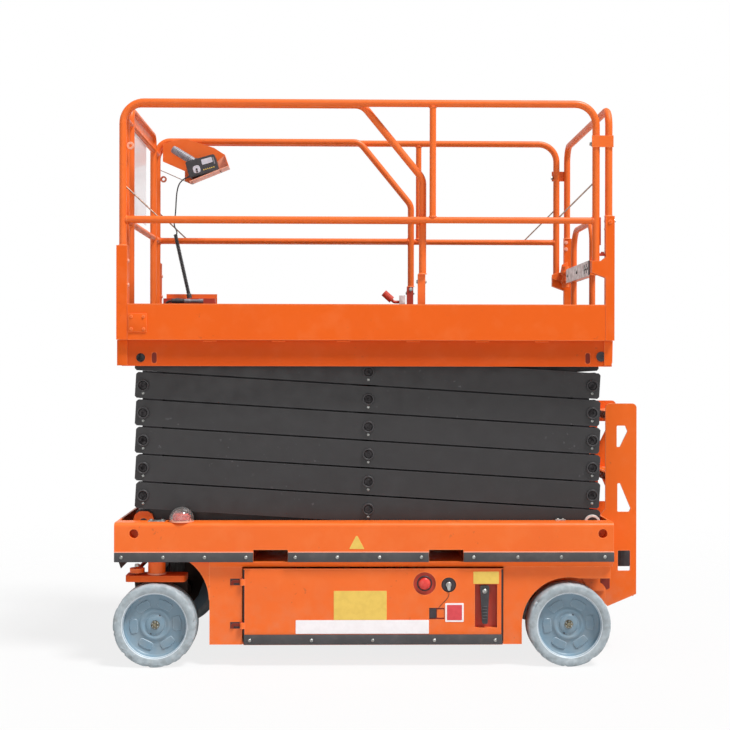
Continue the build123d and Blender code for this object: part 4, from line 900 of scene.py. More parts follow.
for side_name, side in SIDES:
    door = f"door_{side_name}"
    # each door's latch well: painted shade in the deep red copy of the coat
    dress_part(door, RECESS_SHADE_RED, lambda x, y, z: between(x, WELL_X) and between(z, WELL_Z) and abs(y) < 565.5)
    dress_part(door, ABS_BLACK, lambda x, y, z: (
        between(x, LATCH_X, 1) and between(z, LATCH_Z, 1) and abs(y) > 555.5
    ))
    hub, ribs, arms, notch_shades, lip, gap_shade = fresh(6)
    turned(hub, (462.5, side * 569.5, 346), (0, side, 0), (
        (0, 0), (11, 0), (11, 2), (8, 4), (6.5, 5.5), (0, 5.5)), 24)
    solid(f"latch_pivot_{side_name}", hub, ZINC_PLATE, door)
    for z in range(216, 286, 14):
        block(ribs, (452, side * 569.5, z), (475, side * 572.5, z + 5), 1.0)
    solid(f"latch_ribs_{side_name}", ribs, ABS_BLACK, door)
    # gooseneck hinge arms beside the door's front edge, in the brown of painted deep shade, over dark plates
    # that paint the shade inside their notches
    for z in HINGE_Z:
        corners = ((-706, z - 15), (-650, z - 15), (-650, z + 15), (-706, z + 15))
        slab(notch_shades, corners, side * 554.5, side * 555.6, 0.2)
        slab(arms, [(x, z + up) for x, up in HINGE_ARM], side * 555.4, side * 561.0, 1.0)
    solid(f"hinge_notch_shades_{side_name}", notch_shades, SOCKET_DARK, "chassis")
    solid(f"hinge_arms_{side_name}", arms, DEEP_SHADE_BROWN, "chassis")
    # folded lip along the door's head, and dark strips down both of its ends that paint the shade in the
    # door's gaps
    block(lip, (DOOR_X[0] + 0.5, side * 558, 446), (DOOR_X[1] - 0.5, side * 567.2, 450.5), 1.0)
    block(gap_shade, (DOOR_X[1] - 6, side * 558, 104), (DOOR_X[1], side * 567.4, 446.5), 1.2)
    block(gap_shade, (DOOR_X[0], side * 558, 104), (DOOR_X[0] + 4.5, side * 567.4, 446.5), 1.2)
    solid(f"door_lips_{side_name}", lip, ORANGE, door)
    solid(f"door_edge_gap_shades_{side_name}", gap_shade, SOCKET_DARK, door)

# ---------------------------------------------------------------- bay contents behind the doors
# power unit: motor, pump and valve block beside a tank, on the near bay's mass
unit_low, unit_high = (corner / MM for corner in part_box("power_unit_block"))
UNIT_TOP = unit_high.z
MOTOR_R = 48.0
MOTOR_Y = -330
MOTOR_X = unit_low.x + 265
MOTOR_Z = UNIT_TOP + MOTOR_R + 4
VALVE_PORTS = (MOTOR_X + 258, MOTOR_X + 310)
VALVE_FACE = -382
# each hose leaves the lower row of ports: its name, its port and its height over the mass
HOSES = (("pressure_hose", VALVE_PORTS[0], 24), ("return_hose", VALVE_PORTS[1], 56))
motor, bands, tank, valves, unions = fresh(5)
turned(motor, (MOTOR_X, MOTOR_Y, MOTOR_Z), (1, 0, 0), (
    (0, 0), (MOTOR_R - 8, 0), (MOTOR_R, 6), (MOTOR_R, 20), (MOTOR_R - 2, 22), (MOTOR_R - 2, 196),
    (MOTOR_R, 198), (MOTOR_R, 214), (26, 220), (26, 236), (0, 236),
), 40)
for x in (MOTOR_X + 46, MOTOR_X + 160):
    half = MOTOR_R + 8
    turned(bands, (x, MOTOR_Y, MOTOR_Z), (1, 0, 0), stub(MOTOR_R + 2, 14), 40)
    block(bands, (x, MOTOR_Y - half, UNIT_TOP - 0.5), (x + 14, MOTOR_Y + half, UNIT_TOP + 12), 1.5)
block(
    tank, (unit_low.x + 14, unit_low.y + 12, UNIT_TOP - 0.5),
    (unit_low.x + 236, unit_high.y - 12, UNIT_TOP + 98), 9.0, 3)
for x in (unit_low.x + 70, unit_low.x + 125, unit_low.x + 180):
    block(tank, (x, unit_low.y + 8.5, UNIT_TOP + 8), (x + 14, unit_low.y + 20, UNIT_TOP + 86), 2.5, 2)
turned(unions, (unit_low.x + 62, unit_low.y + 60, UNIT_TOP + 97), (0, 0, 1), (
    (0, 0), (24, 0), (24, 4), (20, 5), (20, 14), (17, 17), (0, 17),
), 24)
block(valves, (MOTOR_X + 234, VALVE_FACE, UNIT_TOP - 0.5), (MOTOR_X + 334, -272, UNIT_TOP + 82), 3.0, 2)
for x, tall in zip(VALVE_PORTS, (42, 34)):
    turned(unions, (x, -350, UNIT_TOP + 81), (0, 0, 1), (
        (0, 0), (15, 0), (15, tall * 0.6), (12, tall * 0.6), (12, tall * 0.8), (0, tall * 0.8)), 20)
for up in (24, 56):
    for x in VALVE_PORTS:
        bolt(unions, (x, VALVE_FACE, UNIT_TOP + up), (0, -1, 0), 16, 9, 11)
solid("pump_motor", motor, DRIVE_PAINT, "chassis")
solid("pump_motor_bands", bands, ZINC_PLATE, "chassis")
solid("hydraulic_tank", tank, ABS_BLACK, "chassis")
solid("valve_block", valves, GALVANISED_PINK_REFLECTION, "chassis")
solid("hydraulic_fittings", unions, BRASS_NUT, "chassis")
for hose, x, up in HOSES:
    z = UNIT_TOP + up
    pipe(hose, (
        (x, -388, z), (x, -408, z), (x + 4, -420, z - 14), (x + 10, -424, z - 60), (x + 24, -436, z - 110),
        (x + 60, -440, z - 126),
    ), 7, CABLE_PVC, "chassis")

# a row of batteries with lids, vent caps, posts and links, on the far bay's mass
rack_low, rack_high = (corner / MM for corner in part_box("battery_block"))
BATTERIES = 4
BATTERY_LONG = (rack_high.x - rack_low.x) / BATTERIES
LID_Z = rack_high.z
POST_Y = rack_high.y - 34
POST_AT = 0.16                              # a post's place along its battery, as a share of its length
# a link's bow from post to post: share of a battery's length, how far back and how far up
LINK_BOW = ((-POST_AT, 0, 11), (-0.1, 4, 14), (0, 8, 17), (0.1, 4, 14), (POST_AT, 0, 11))
lids, vents, posts = fresh(3)
for k in range(BATTERIES):
    x = rack_low.x + BATTERY_LONG * k
    far_x = x + BATTERY_LONG
    block(lids, (x + 3, rack_low.y - 2, LID_Z - 26), (far_x - 3, rack_high.y + 3, LID_Z + 4), 4.0, 2)
    block(lids, (x + 12, rack_low.y + 70, LID_Z + 3), (far_x - 12, rack_high.y - 70, LID_Z + 15), 3.0, 2)
    for step in range(3):
        vent_at = (x + BATTERY_LONG * (0.25 + 0.25 * step), (rack_low.y + rack_high.y) / 2, LID_Z + 14)
        turned(vents, vent_at, (0, 0, 1), (
            (0, 0), (17, 0), (18, 2), (18, 9), (15, 12), (6, 12), (5, 10), (0, 10),
        ), 20)
    for share in (POST_AT, 1 - POST_AT):
        turned(posts, (x + BATTERY_LONG * share, POST_Y, LID_Z + 3), (0, 0, 1), (
            (0, 0), (10, 0), (9, 12), (5, 12), (5, 20), (0, 20)), 18)
        bolt(posts, (x + BATTERY_LONG * share, POST_Y, LID_Z + 12), (0, 0, 1), 13, 8, 11)
    if k:
        pipe(f"battery_link_{k}", [
            (x + BATTERY_LONG * share, POST_Y + back, LID_Z + up) for share, back, up in LINK_BOW
        ], 6.5, CABLE_PVC, "chassis")
solid("battery_lids", lids, ABS_BLACK, "chassis")
solid("battery_vent_caps", vents, ABS_RED, "chassis")
solid("battery_posts", posts, ZINC_PLATE, "chassis")

# ---------------------------------------------------------------- near door's switches and socket
KEY_AT = (297.0, 375.0)
KEY_BLADE = ((-3, -26), (6, -27), (9, -10), (4, 8), (-4, 8), (-8, -12))
STOP_AT = (186.0, 381.0)
SOCKET_X = (206, 279)
SOCKET_Z = (216, 271)
# the stop button's recess: painted shade in the deep red copy of the coat
dress_part("door_near", RECESS_SHADE_RED, lambda x, y, z: (
    abs(y) < 565.5 and hypot(x - STOP_AT[0], z - STOP_AT[1]) < 53))
dress_part("door_near", SOCKET_DARK, lambda x, y, z: (
    abs(y) < 565.5 and hypot(x - KEY_AT[0], z - KEY_AT[1]) < 35))
# the charge socket's recess: painted shade in the same deep red
dress_part("door_near", RECESS_SHADE_RED, lambda x, y, z: (
    abs(y) < 565.5 and between(x, SOCKET_X) and between(z, SOCKET_Z)))
bezel, barrel, cap, flap, stop, collar = fresh(6)
turned(bezel, (KEY_AT[0], -559.5, KEY_AT[1]), (0, -1, 0), (
    (0, 0), (33, 0), (33, 3), (30, 5.5), (17, 5.5), (16, 3), (0, 3)), 36)
solid("key_switch_bezel", bezel, SOCKET_DARK, "door_near")
turned(barrel, (KEY_AT[0], -562, KEY_AT[1]), (0, -1, 0), (
    (0, 0), (13, 0), (13, 5), (11.5, 6.5), (0, 6.5)), 24)
slab(barrel, [(KEY_AT[0] + along, KEY_AT[1] + up) for along, up in KEY_BLADE], -571, -568.5, 0.6)
solid("key_and_barrel", barrel, ZINC_PLATE, "door_near")
pipe("key_tether", (
    (297, -569, 350), (300, -568.5, 330), (288, -568, 309), (268, -567.8, 290), (252, -567.5, 272),
    (246, -566, 262),
), 1.1, CABLE_PVC, "door_near")
slab(cap, rounded((208, 240), (222, 266), 3, 2), -566.5, -559.5, 1.0)
solid("charge_socket_cap", cap, SOCKET_DARK, "door_near")
slab(flap, rounded((243, 276), (224, 262), 2, 2), -563.0, -559.5, 0.8)
solid("charge_socket_flap", flap, ORANGE, "door_near")
turned(stop, (STOP_AT[0], -559.5, STOP_AT[1]), (0, -1, 0), (
    (0, 0), (15, 0), (15, 5), (20, 7), (25, 7.5), (26.5, 9.5), (26.5, 12), (24, 15), (17, 17.5), (8, 18.7),
    (0, 19),
), 40)
mushroom = solid("stop_mushroom", stop, ABS_RED, "door_near", 50)
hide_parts("stop_button")
turned(collar, (STOP_AT[0], -559.3, STOP_AT[1]), (0, -1, 0), (
    (30, 0), (35, 0), (35, 2.5), (33, 4), (30, 4), (30, 0)), 40)
solid("stop_button_collar", collar, SOCKET_DARK, "door_near")

# ---------------------------------------------------------------- tread plate
TREAD_PITCH = 30.0
LOZENGE = ((-12, 0), (-5, -3.5), (5, -3.5), (12, 0), (5, 3.5), (-5, 3.5))
LOZENGE_TALL = 1.5
SLIDE_FLOOR = 1522.0
MAIN_FLOOR = 1509.0


def tread(mesh, low_x, high_x, half_y, top_z, keep=None):
    """Raised lozenges of tread plate on a square grid, alternately turned."""
    rows = int(2 * half_y / TREAD_PITCH)
    columns = int((high_x - low_x) / TREAD_PITCH)
    for i in range(columns):
        for j in range(rows):
            x = low_x + TREAD_PITCH * (i + 0.5)
            y = -half_y + TREAD_PITCH * (j + 0.5)
            if keep and not keep(x, y):
                continue
            turn = radians(45 if (i + j) % 2 else -45)
            rings = []
            for scale, up in ((1.0, 0.0), (0.7, LOZENGE_TALL)):
                ring = []
                for u, v in LOZENGE:
                    u, v = u * scale, v * scale
                    spot = (x + u * cos(turn) - v * sin(turn), y + u * sin(turn) + v * cos(turn), top_z + up)
                    ring.append(mesh.verts.new(Vector(spot) * MM))
                rings.append(ring)
            mesh.faces.new(rings[1])
            mesh.faces.new(rings[0][::-1])
            for k in range(6):
                mesh.faces.new((rings[0][k], rings[0][(k + 1) % 6], rings[1][(k + 1) % 6], rings[1][k]))


main_tread, slide_tread = fresh(2)
tread(main_tread, -1180, 1000, 500, MAIN_FLOOR)
# the sliding deck's plate stays clear of the floor box and of the deck lever
tread(slide_tread, -1190, 180, 490, SLIDE_FLOOR, lambda x, y: not (
    (y > 425 and x < -850) or (y < -470 and 30 < x < 130)))
solid("main_deck_tread", main_tread, DECK_STEEL, "platform")
solid("slide_deck_tread", slide_tread, DECK_STEEL, "extension")
dress_part("platform_frame", DECK_STEEL, lambda x, y, z: z > MAIN_FLOOR - 0.5)
dress_part("extension_deck", DECK_STEEL, lambda x, y, z: abs(z - SLIDE_FLOOR) < 0.5)

# ---------------------------------------------------------------- rails
RAIL_Y = 560.0
SLIDE_RAIL_Y = 518.0
MID_RAIL_Z = 2050
for side_name, side in SIDES:
    bolts, latch, cap, painted = fresh(4)
    # screws through the stanchion sockets, one of them painted over
    for z in (1859, 1749):
        bolt(bolts, (-1174.6, side * 562, z), (1, 0, 0), 15, 6, 10)
    for z in (2049, 2013):
        bolt(bolts, (1023, side * 545, z), (0, -side, 0), 15, 6, 10)
    bolt(painted, (1035, side * 580, 2043), (0, side, 0), 15, 5, 10)
    solid(f"socket_bolts_{side_name}", painted, TOE_ORANGE, "platform")
    # ring latch that holds the folded side rail
    turned(latch, (-1164, side * (RAIL_Y - 8), 2386), (0, side, 0), (
        (8, 0), (16, 0), (17.5, 2), (17.5, 9), (16, 11), (8, 11), (8, 0),
    ), 20)
    block(cap, (-1205, side * 549, 1925), (-1190, side * 571, 1934), 2, 2)
    solid(f"stanchion_bolts_{side_name}", bolts, SALMON_HIGHLIGHT_EDGE, "platform")
    solid(f"rail_latches_{side_name}", latch, SALMON_HIGHLIGHT_EDGE, "platform")
    solid(f"stanchion_caps_{side_name}", cap, ORANGE, "platform")

WELD_TALL = 5.0
WELD_WIDE = 4.0
WELD_STEPS = 40


def weld(mesh, place, direction, radius):
    """A fillet weld round a tube, rippled by hand movement."""
    frame_at = Matrix.Translation(Vector(place) * MM) @ facing(direction)
    rings = []
    for k in range(WELD_STEPS):
        a = 2 * pi * k / WELD_STEPS
        ripple = 1 + 0.18 * sin(a * 11)
        section = (
            (radius - 1, 0), (radius + WELD_WIDE * ripple, 0),
            (radius + WELD_WIDE * 0.6 * ripple, WELD_TALL * 0.45 * ripple), (radius - 1, WELD_TALL * ripple))
        rings.append([
            mesh.verts.new(frame_at @ Vector((r * MM * cos(a), r * MM * sin(a), h * MM)))
            for r, h in section
        ])
    for k in range(WELD_STEPS):
        one, two = rings[k], rings[(k + 1) % WELD_STEPS]
        for i in range(4):
            mesh.faces.new((one[i], one[(i + 1) % 4], two[(i + 1) % 4], two[i]))


# where tubes meet, on both sides of the machine: X, Z, the tube's direction and its radius
RAIL_WELDS = (
    (220.5, 2065, (0, 0, 1), 15), (220.5, 2568, (0, 0, -1), 15), (-1180.6, MID_RAIL_Z, (1, 0, 0), 15),
    (955.3, MID_RAIL_Z, (-1, 0, 0), 15), (1031, 2070, (0, 0, 1), 17), (-1197.6, 1929, (0, 0, 1), 17),
)
SLIDE_WELDS = (
    (-1175, MID_RAIL_Z, (1, 0, 0), 15), (159.6, MID_RAIL_Z, (-1, 0, 0), 15), (-1192, 1645, (0, 0, 1), 17),
    (176.6, 1804, (0, 0, 1), 17),
)
beads, slide_beads, screws = fresh(3)
for side in (NEAR, FAR):
    for x, z, way, radius in RAIL_WELDS:
        weld(beads, (x, side * RAIL_Y, z), way, radius)
    for x, z, way, radius in SLIDE_WELDS:
        weld(slide_beads, (x, side * SLIDE_RAIL_Y, z), way, radius)
    for y, outward in ((387, 1), (501, -1)):
        weld(slide_beads, (-1192, side * y, MID_RAIL_Z), (0, side * outward, 0), 15)
    for z in (1790, 1700):
        bolt(screws, (176, side * 501, z), (0, -side, 0), 15, 6, 10)
    for x, way in ((154.4, -1), (189.8, 1)):
        bolt(screws, (x, side * 512, 1770), (way, 0, 0), 15, 6, 10)
solid("rail_welds", beads, ORANGE, "platform")
solid("slide_rail_welds", slide_beads, ORANGE, "extension")
solid("slide_post_bolts", screws, ZINC_PLATE, "extension")
# the far slide post's socket: painted shade in the deep red copy of the coat
dress_part("extension_deck", RECESS_SHADE_RED, lambda x, y, z: z > 1600 and 150 < x < 195 and y > 498)

# rear hoop's clamps
clamps = bmesh.new()
for side in (NEAR, FAR):
    bolt(clamps, (951, side * 562, 2402), (-1, 0, 0), 15, 9, 11)
    bolt(clamps, (1055.4, side * 562, MID_RAIL_Z), (1, 0, 0), 15, 7, 11)
solid("hoop_clamp_bolts", clamps, ZINC_PLATE, "platform")

# gate: a galvanised latch plate on both faces with a painted pink reflection, bolted and slotted, with dark
# ovals that paint the shade in its slots, and the hinge clamps on the far post
GATE_X = 1015
GATE_FACES = ((GATE_X - 20, -1), (GATE_X + 20, 1))
LATCH_PLATE_Z = 1855
dress_part("entry_gate", GALVANISED_PINK_REFLECTION, lambda x, y, z: (
    1815 < z < 1892 and -284 < y < 376 and abs(x - GATE_X) > 15.5))
slots, bolts, hinge = fresh(3)
for x, way in GATE_FACES:
    for y in (-205, -150):
        oval = rounded((y - 9, y + 9), (LATCH_PLATE_Z - 23, LATCH_PLATE_Z + 23), 7, 3)
        slab(slots, oval, x - way * 0.4, x + way * 0.8, 0.2, "YZ")
    for y in (-230, -178, 60, 330):
        bolt(bolts, (x, y, LATCH_PLATE_Z), (way, 0, 0), 13, 5, 8.5)
for z in (1835, 1880):
    turned(hinge, (GATE_X, 512, z - 9), (0, 0, 1), (
        (20.2, 0), (25, 0), (26, 1.5), (26, 16.5), (25, 18), (20.2, 18), (20.2, 0)), 28)
    block(hinge, (GATE_X - 10, 530, z - 8), (GATE_X + 10, 548, z + 8), 1.5, 2)
solid("gate_latch_slot_shades", slots, SOCKET_DARK, "gate")
solid("gate_plate_bolts", bolts, ZINC_PLATE, "gate")
solid("gate_hinge_clamps", hinge, ORANGE, "platform")

# ---------------------------------------------------------------- rest pads and slide pads
PAD_UP = (59.0, 67.0)                       # from the arm's middle line to a pad's foot and top
ARM_SLOPE = atan2(-HALF_RISE, HALF_RUN)
for level in range(1, LEVELS):
    pads = bmesh.new()
    low_z = PIVOT.z + 2 * (level - 1) * HALF_RISE
    # a pad over each end pin of the arm: the pin, and how far along the arm the pad starts and ends
    for pin_x, pin_z, start, end in (
        (PIVOT.x, low_z + 2 * HALF_RISE, -10, 84), (PIVOT.x + 2 * HALF_RUN, low_z, -92, -14),
    ):
        outline = []
        for along, up in ((start, PAD_UP[0]), (end, PAD_UP[0]), (end, PAD_UP[1]), (start, PAD_UP[1])):
            outline.append((
                pin_x + along * cos(ARM_SLOPE) - up * sin(ARM_SLOPE),
                pin_z + along * sin(ARM_SLOPE) + up * cos(ARM_SLOPE),
            ))
        for side in (NEAR, FAR):
            slab(pads, outline, side * 429, side * 448, 1.0)
    solid(f"rest_pads_{level}", pads, SOCKET_DARK, f"outer_arms_{level}")
slides, stops = fresh(2)
for side in (NEAR, FAR):
    turned(slides, (PIVOT.x + 2 * HALF_RUN, side * 467.5, PIVOT.z), (0, side, 0), (
        (28, 0), (37, 0), (38.5, 1.5), (38.5, 10), (37, 11.5), (28, 11.5), (28, 0),
    ), 40)
    block(stops, (798, side * 487, 661), (846, side * 500, 668), 1.5, 2)
    for x in (810, 834):
        bolt(stops, (x, side * 493.5, 668), (0, 0, 1), 10, 4, 7)
solid("slide_rollers", slides, NYLON, "outer_arms_1")
solid("slide_track_stops", stops, ZINC_PLATE, "chassis")

# ---------------------------------------------------------------- ends of the platform and the chassis
END_X = -1226
END_Z = (1380, 1497)
PLATE_Y = (544.5, 550.5)
end_plates, tabs, seams = fresh(3)
block(end_plates, (END_X, -545.5, END_Z[0]), (END_X + 22, 545.5, END_Z[1]), 2.0, 2)
for side in (NEAR, FAR):
    block(end_plates, (END_X, side * PLATE_Y[0], END_Z[0]), (-1178, side * PLATE_Y[1], END_Z[1]), 1.5, 2)
    slab(end_plates, (
        (1014, 1383), (1044, 1383), (1052, 1396), (1054, END_Z[1]), (1014, END_Z[1]),
    ), side * PLATE_Y[0], side * PLATE_Y[1], 1.2)
    for x in (-802, -487, -188, 132, 452, 726):
        block(tabs, (x - 31, side * PLATE_Y[0], 1489.5), (x + 31, side * 549, 1497.5), 1.6, 2)
    for x in (-1174.6, 1014.6):
        block(seams, (x - 1.6, side * 579.6, 1500), (x + 1.6, side * 581.2, 1657), 0.6)
solid("channel_end_plates", end_plates, TOE_ORANGE, "platform")
solid("channel_weld_tabs", tabs, TOE_ORANGE, "platform")
solid("post_foot_seams", seams, SHADED_CHANNEL_ORANGE, "platform")

# tow lugs in the brown of painted deep shade and mudguard sheets at the rear, and the charger behind the
# ladder
TOW_LUG = ((1008, 398), (1050, 398), (1050, 350), (1036, 342), (1027, 356), (1018, 368), (1008, 374))
MUDGUARD = ((862, 350), (905, 350), (950, 330), (985, 305), (1004, 284), (1050, 284), (1050, 480), (862, 480))
CHARGER_TOP = 511
lugs, guards, charger, glands = fresh(4)
for side in (NEAR, FAR):
    slab(lugs, TOW_LUG, side * 500, side * 512, 1.5)
    slab(guards, MUDGUARD, side * 403, side * 409.5, 0.8)
solid("tow_lugs", lugs, DEEP_SHADE_BROWN, "chassis")
solid("rear_mudguards", guards, ORANGE, "chassis")
block(charger, (1064, -150, 394), (1226, 150, CHARGER_TOP), 6.0, 3)
for x in range(1080, 1188, 12):
    block(charger, (x, -152.5, 430), (x + 4, -149, 500), 1.2)
for y in (100, -100):
    turned(glands, (1150, y, CHARGER_TOP), (0, 0, 1), (
        (0, 0), (14, 0), (14, 6), (9, 9), (9, 20), (7, 22), (0, 22)), 20)
solid("charger_case", charger, ABS_BLACK, "chassis")
solid("charger_glands", glands, ABS_BLACK, "chassis")

# ladder: raised grip rings pressed into its treads
LADDER_TREADS = (1157, 853, 549, 300)
GRIP_RING = ((4, 0), (8, 0), (6.5, 2.4), (5, 2.4), (4, 0))
grips = bmesh.new()
for z in LADDER_TREADS:
    for i in range(16):
        for k in range(3):
            turned(grips, (1124 + 40 * k, -225 + 30 * i, z - 0.5), (0, 0, 1), GRIP_RING, 10)
solid("ladder_tread_grips", grips, LADDER_ORANGE, "chassis")

# ---------------------------------------------------------------- control station
BOX_CENTRE = Vector((-940.0, 395.0, 2436.0))
BOX_TILT = radians(16)
DOT_PITCH = 11


def on_box(u, v):
    """A point of the control box's face, u along its top edge and v up, from the face's centre."""
    return (
        BOX_CENTRE.x + u * cos(BOX_TILT) - v * sin(BOX_TILT),
        BOX_CENTRE.z + u * sin(BOX_TILT) + v * cos(BOX_TILT),
    )


def box_plate(mesh, low_u, high_u, low_v, high_v, proud, corner=3):
    """A thin plate on the control box's face."""
    outline = [on_box(u, v) for u, v in rounded((low_u, high_u), (low_v, high_v), corner, 2)]
    slab(mesh, outline, BOX_CENTRE.y - proud, BOX_CENTRE.y + 0.6, 0.4)


bezel, card, round_card, dots, side_card, switches = fresh(6)
box_plate(bezel, -76, 76, -39, 39, 1.6, 6)
box_plate(card, 4, 62, 4, 32, 2.4)
box_plate(side_card, 66, 72, -8, 28, 2.4, 1)
box_plate(round_card, -50, -12, -30, 10, 2.4, 12)
for u in range(2, 2 + 6 * DOT_PITCH, DOT_PITCH):
    box_plate(dots, u, u + 6, -26, -20, 2.6, 1)
for v in (-10, -22):
    x, z = on_box(-31, v)
    turned(switches, (x, BOX_CENTRE.y - 2, z), (0, -1, 0), ((0, 0), (5, 0), (5, 3), (3.5, 4.5), (0, 4.5)), 16)
solid("control_face", bezel, ABS_BLACK, "extension")
solid("control_card", card, PALE_CARD, "extension")
solid("control_side_card", side_card, ABS_GREY, "extension")
solid("control_round_card", round_card, PALE_CARD, "extension")
solid("control_lamps", dots, YELLOW_FILM, "extension")
solid("control_buttons", switches, SOCKET_DARK, "extension")

# joystick: ribbed grip on a black bellows boot
GRIP_FOOT = (-974.0, 445.0, 2456.5)
GRIP_AIM = (-0.856, 0.0, 0.517)
grip_profile = [(0, 0), (19, 0)]
for up in range(24, 134, 10):
    grip_profile += [(19, up), (22, up + 2), (22, up + 6), (19, up + 8)]
grip_profile += [(20, 136), (20, 142), (17.5, 148), (12, 151), (0, 152)]
handle, boot, gland, lip_bolts = fresh(4)
turned(handle, GRIP_FOOT, GRIP_AIM, grip_profile, 32)
grip = solid("joystick_grip", handle, ABS_GREY, "extension", 40)
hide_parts("control_grip")
turned(boot, GRIP_FOOT, GRIP_AIM, (
    (0, -26), (34, -26), (36, -20), (31, -15), (34, -9), (29, -4), (31, 2), (26, 7), (27, 13), (23, 17),
    (0, 17),
), 32)
solid("joystick_boot", boot, ABS_BLACK, "extension", 45)
dress_part("control_bracket", SALMON_HIGHLIGHT_EDGE, lambda x, y, z: (
    z < 2438 and abs(y - 440) < 62 and y < 499.5 and -1010 < x < -790))
turned(gland, (-1006, 445, 2387.5), (-0.96, 0, -0.27), (
    (0, -14), (11, -14), (11, -4), (8, -2), (8, 4), (5, 14), (0, 14)), 20)
solid("cable_gland", gland, ABS_BLACK, "extension", 45)
for x, z in ((-992, 2349), (-840, 2412)):
    bolt(lip_bolts, (x, 430, z), (-0.39, 0, -0.92), 12, 6, 8)
solid("bracket_lip_bolts", lip_bolts, ZINC_PLATE, "extension")
pipe("bracket_stay", (
    (-1172, 512, 2427), (-1160, 506, 2422), (-1060, 503.6, 2377.6), (-1008, 503.6, 2355),
), 2.2, STAY_ROPE, "extension")

# ---------------------------------------------------------------- floor box and deck lever
PLUG_AT = (-1104, 436, 1722)
# the floor box, but for its outer face: painted shade in the deep red copy of the coat
dress_part("floor_box", RECESS_SHADE_RED, lambda x, y, z: y < 499.5)
plug_body, sleeve = fresh(2)
turned(plug_body, PLUG_AT, (1, 0, 0), (
    (0, 0), (8, 0), (12, 3), (12, 22), (14, 24), (14, 40), (11, 43), (11, 66), (0, 66)), 24)
turned(sleeve, (-1036, 436, 1722), (1, 0, 0), (
    (0, 0), (9, 0), (10, 2), (10, 30), (8, 32), (8, 74), (10, 76), (10, 100), (0, 100)), 20)
solid("power_plug_body", plug_body, ABS_BLACK, "extension")
solid("power_plug_sleeve", sleeve, ABS_GREY, "extension")
# short lead from the plug down the back of the toe board, fixed at both ends
pipe("floor_box_lead", (
    PLUG_AT, (-1122, 436, 1722), (-1140, 438, 1700), (-1143, 442, 1660), (-1143, 446, 1600),
    (-1143, 448, 1545), (-1143, 450, 1523),
), 5, CABLE_PVC, "extension")
# deck lever in the deep red copy of the coat that paints shade; its lug in the galvanised finish with the
# painted pink reflection
dress("deck_handle", RECESS_SHADE_RED)
dress_part("deck_handle", GALVANISED_PINK_REFLECTION, lambda x, y, z: 64 < x < 102)

# far gate post: the raised plate that cradles the rail's foot
cradle, catch, gate_ends = fresh(3)
slab(cradle, (
    (945, 1856), (945, 1872), (958, 1880), (992, 1886), (1000, 1928), (1031, 1944), (1031, 1832),
    (1004, 1832), (953, 1848),
), 536, 542, 1.2)
solid("far_rail_cradle", cradle, ORANGE, "platform")
# near gate post: the catch that the latch plate closes on, in the deep red of painted shade
block(catch, (990, -560, 1938), (996, -548, 2066), 1.5, 2)
block(catch, (975, -566, 1888), (1014, -552, 1900), 2.0, 2)
for x in (982, 1003):
    bolt(catch, (x, -559, 1900), (0, 0, 1), 13, 7, 9)
solid("near_gate_catch", catch, RECESS_SHADE_RED, "platform")
# dark ends of the gate's latch plate
for x in (GATE_X - 20, GATE_X + 20):
    block(gate_ends, (x - 3, -286, 1820), (x + 3, -266, 1888), 1.0)
solid("gate_plate_edges", gate_ends, SOCKET_DARK, "gate")


# ---------------------------------------------------------------- studio
def lamp(name, place, aim, size, power):
    """A soft square lamp aimed at a point."""
    data = bpy.data.lights.new(name, "AREA")
    data.size = size
    data.energy = power
    obj = bpy.data.objects.new(name, data)
    bpy.context.scene.collection.objects.link(obj)
    turn = facing(Vector(place) - Vector(aim))
    obj.matrix_world = Matrix.Translation(place) @ turn


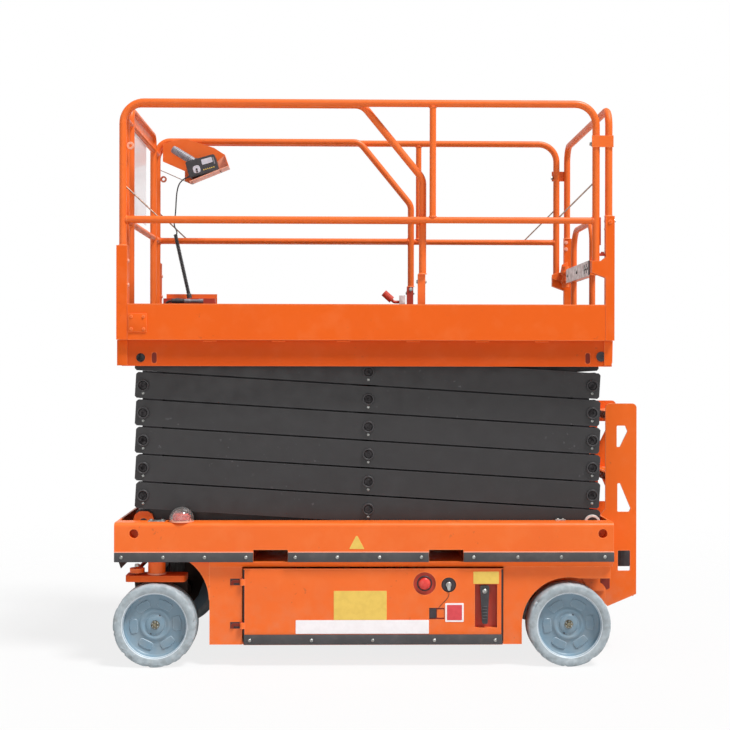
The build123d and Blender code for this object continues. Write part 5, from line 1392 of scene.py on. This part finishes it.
def studio_floor_paint():
    """Pale matt floor that keeps the object's shadow and thins out into the white backdrop far from it."""
    mat = bpy.data.materials.new("studio_floor_paint")
    mat.use_nodes = True
    tree = mat.node_tree
    shader = tree.nodes["Principled BSDF"]
    shader.inputs["Base Color"].default_value = paint_hex("D6D6D6")
    shader.inputs["Roughness"].default_value = 0.9
    place = put(tree, "ShaderNodeTexCoord")
    reach = put(tree, "ShaderNodeVectorMath", {"operation": "LENGTH"}, i0=(place, "Object"))
    fade = put(tree, "ShaderNodeMapRange", {1: 2.6, 2: 5.5}, Value=(reach, "Value"))
    rays = put(tree, "ShaderNodeLightPath")
    seen = put(tree, "ShaderNodeMath", {"operation": "MULTIPLY"}, i0=fade, i1=(rays, "Is Camera Ray"))
    clear = put(tree, "ShaderNodeBsdfTransparent")
    white = put(tree, "ShaderNodeEmission", {"Strength": 1.0})
    lifted = put(tree, "ShaderNodeMath", {"operation": "MULTIPLY", 1: 0.82}, i0=(rays, "Is Camera Ray"))
    level = put(tree, "ShaderNodeMixShader", None, i0=lifted, i1=(shader, "BSDF"), i2=white)
    mix = put(tree, "ShaderNodeMixShader", None, i0=seen, i1=level, i2=clear)
    tree.links.new(mix.outputs[0], tree.nodes["Material Output"].inputs["Surface"])
    return mat


floor_mesh = bpy.data.meshes.new("studio_floor")
floor_mesh.from_pydata([(-60, -60, 0), (60, -60, 0), (60, 60, 0), (-60, 60, 0)], [], [(0, 1, 2, 3)])
floor_mesh.materials.append(studio_floor_paint())
floor = bpy.data.objects.new("studio_floor", floor_mesh)
bpy.context.scene.collection.objects.link(floor)

world = bpy.data.worlds.new("studio")
bpy.context.scene.world = world
world.use_nodes = True
sky = world.node_tree
background = sky.nodes["Background"]
rays = put(sky, "ShaderNodeLightPath")
seen = put(
    sky, "ShaderNodeMath", {"operation": "MAXIMUM"}, i0=(rays, "Is Camera Ray"), i1=(rays, "Is Glossy Ray"))
seen_too = put(sky, "ShaderNodeMath", {"operation": "MAXIMUM"}, i0=seen, i1=(rays, "Is Transmission Ray"))
level = put(sky, "ShaderNodeMapRange", {3: 0.3, 4: 1.0}, Value=seen_too)
sky.links.new(level.outputs[0], background.inputs["Strength"])
background.inputs["Color"].default_value = (1, 1, 1, 1)

lamp("fill", (-1.5, -9.0, 3.2), (0, 0, 1.3), 5.0, 60)
sun = bpy.data.lights.new("key", "SUN")
sun.energy = 3.7
sun.angle = radians(14)
key = bpy.data.objects.new("key", sun)
scene = bpy.context.scene
scene.collection.objects.link(key)
key.matrix_world = facing((2.6, -2.2, 6.2))

scene.view_settings.view_transform = "Standard"
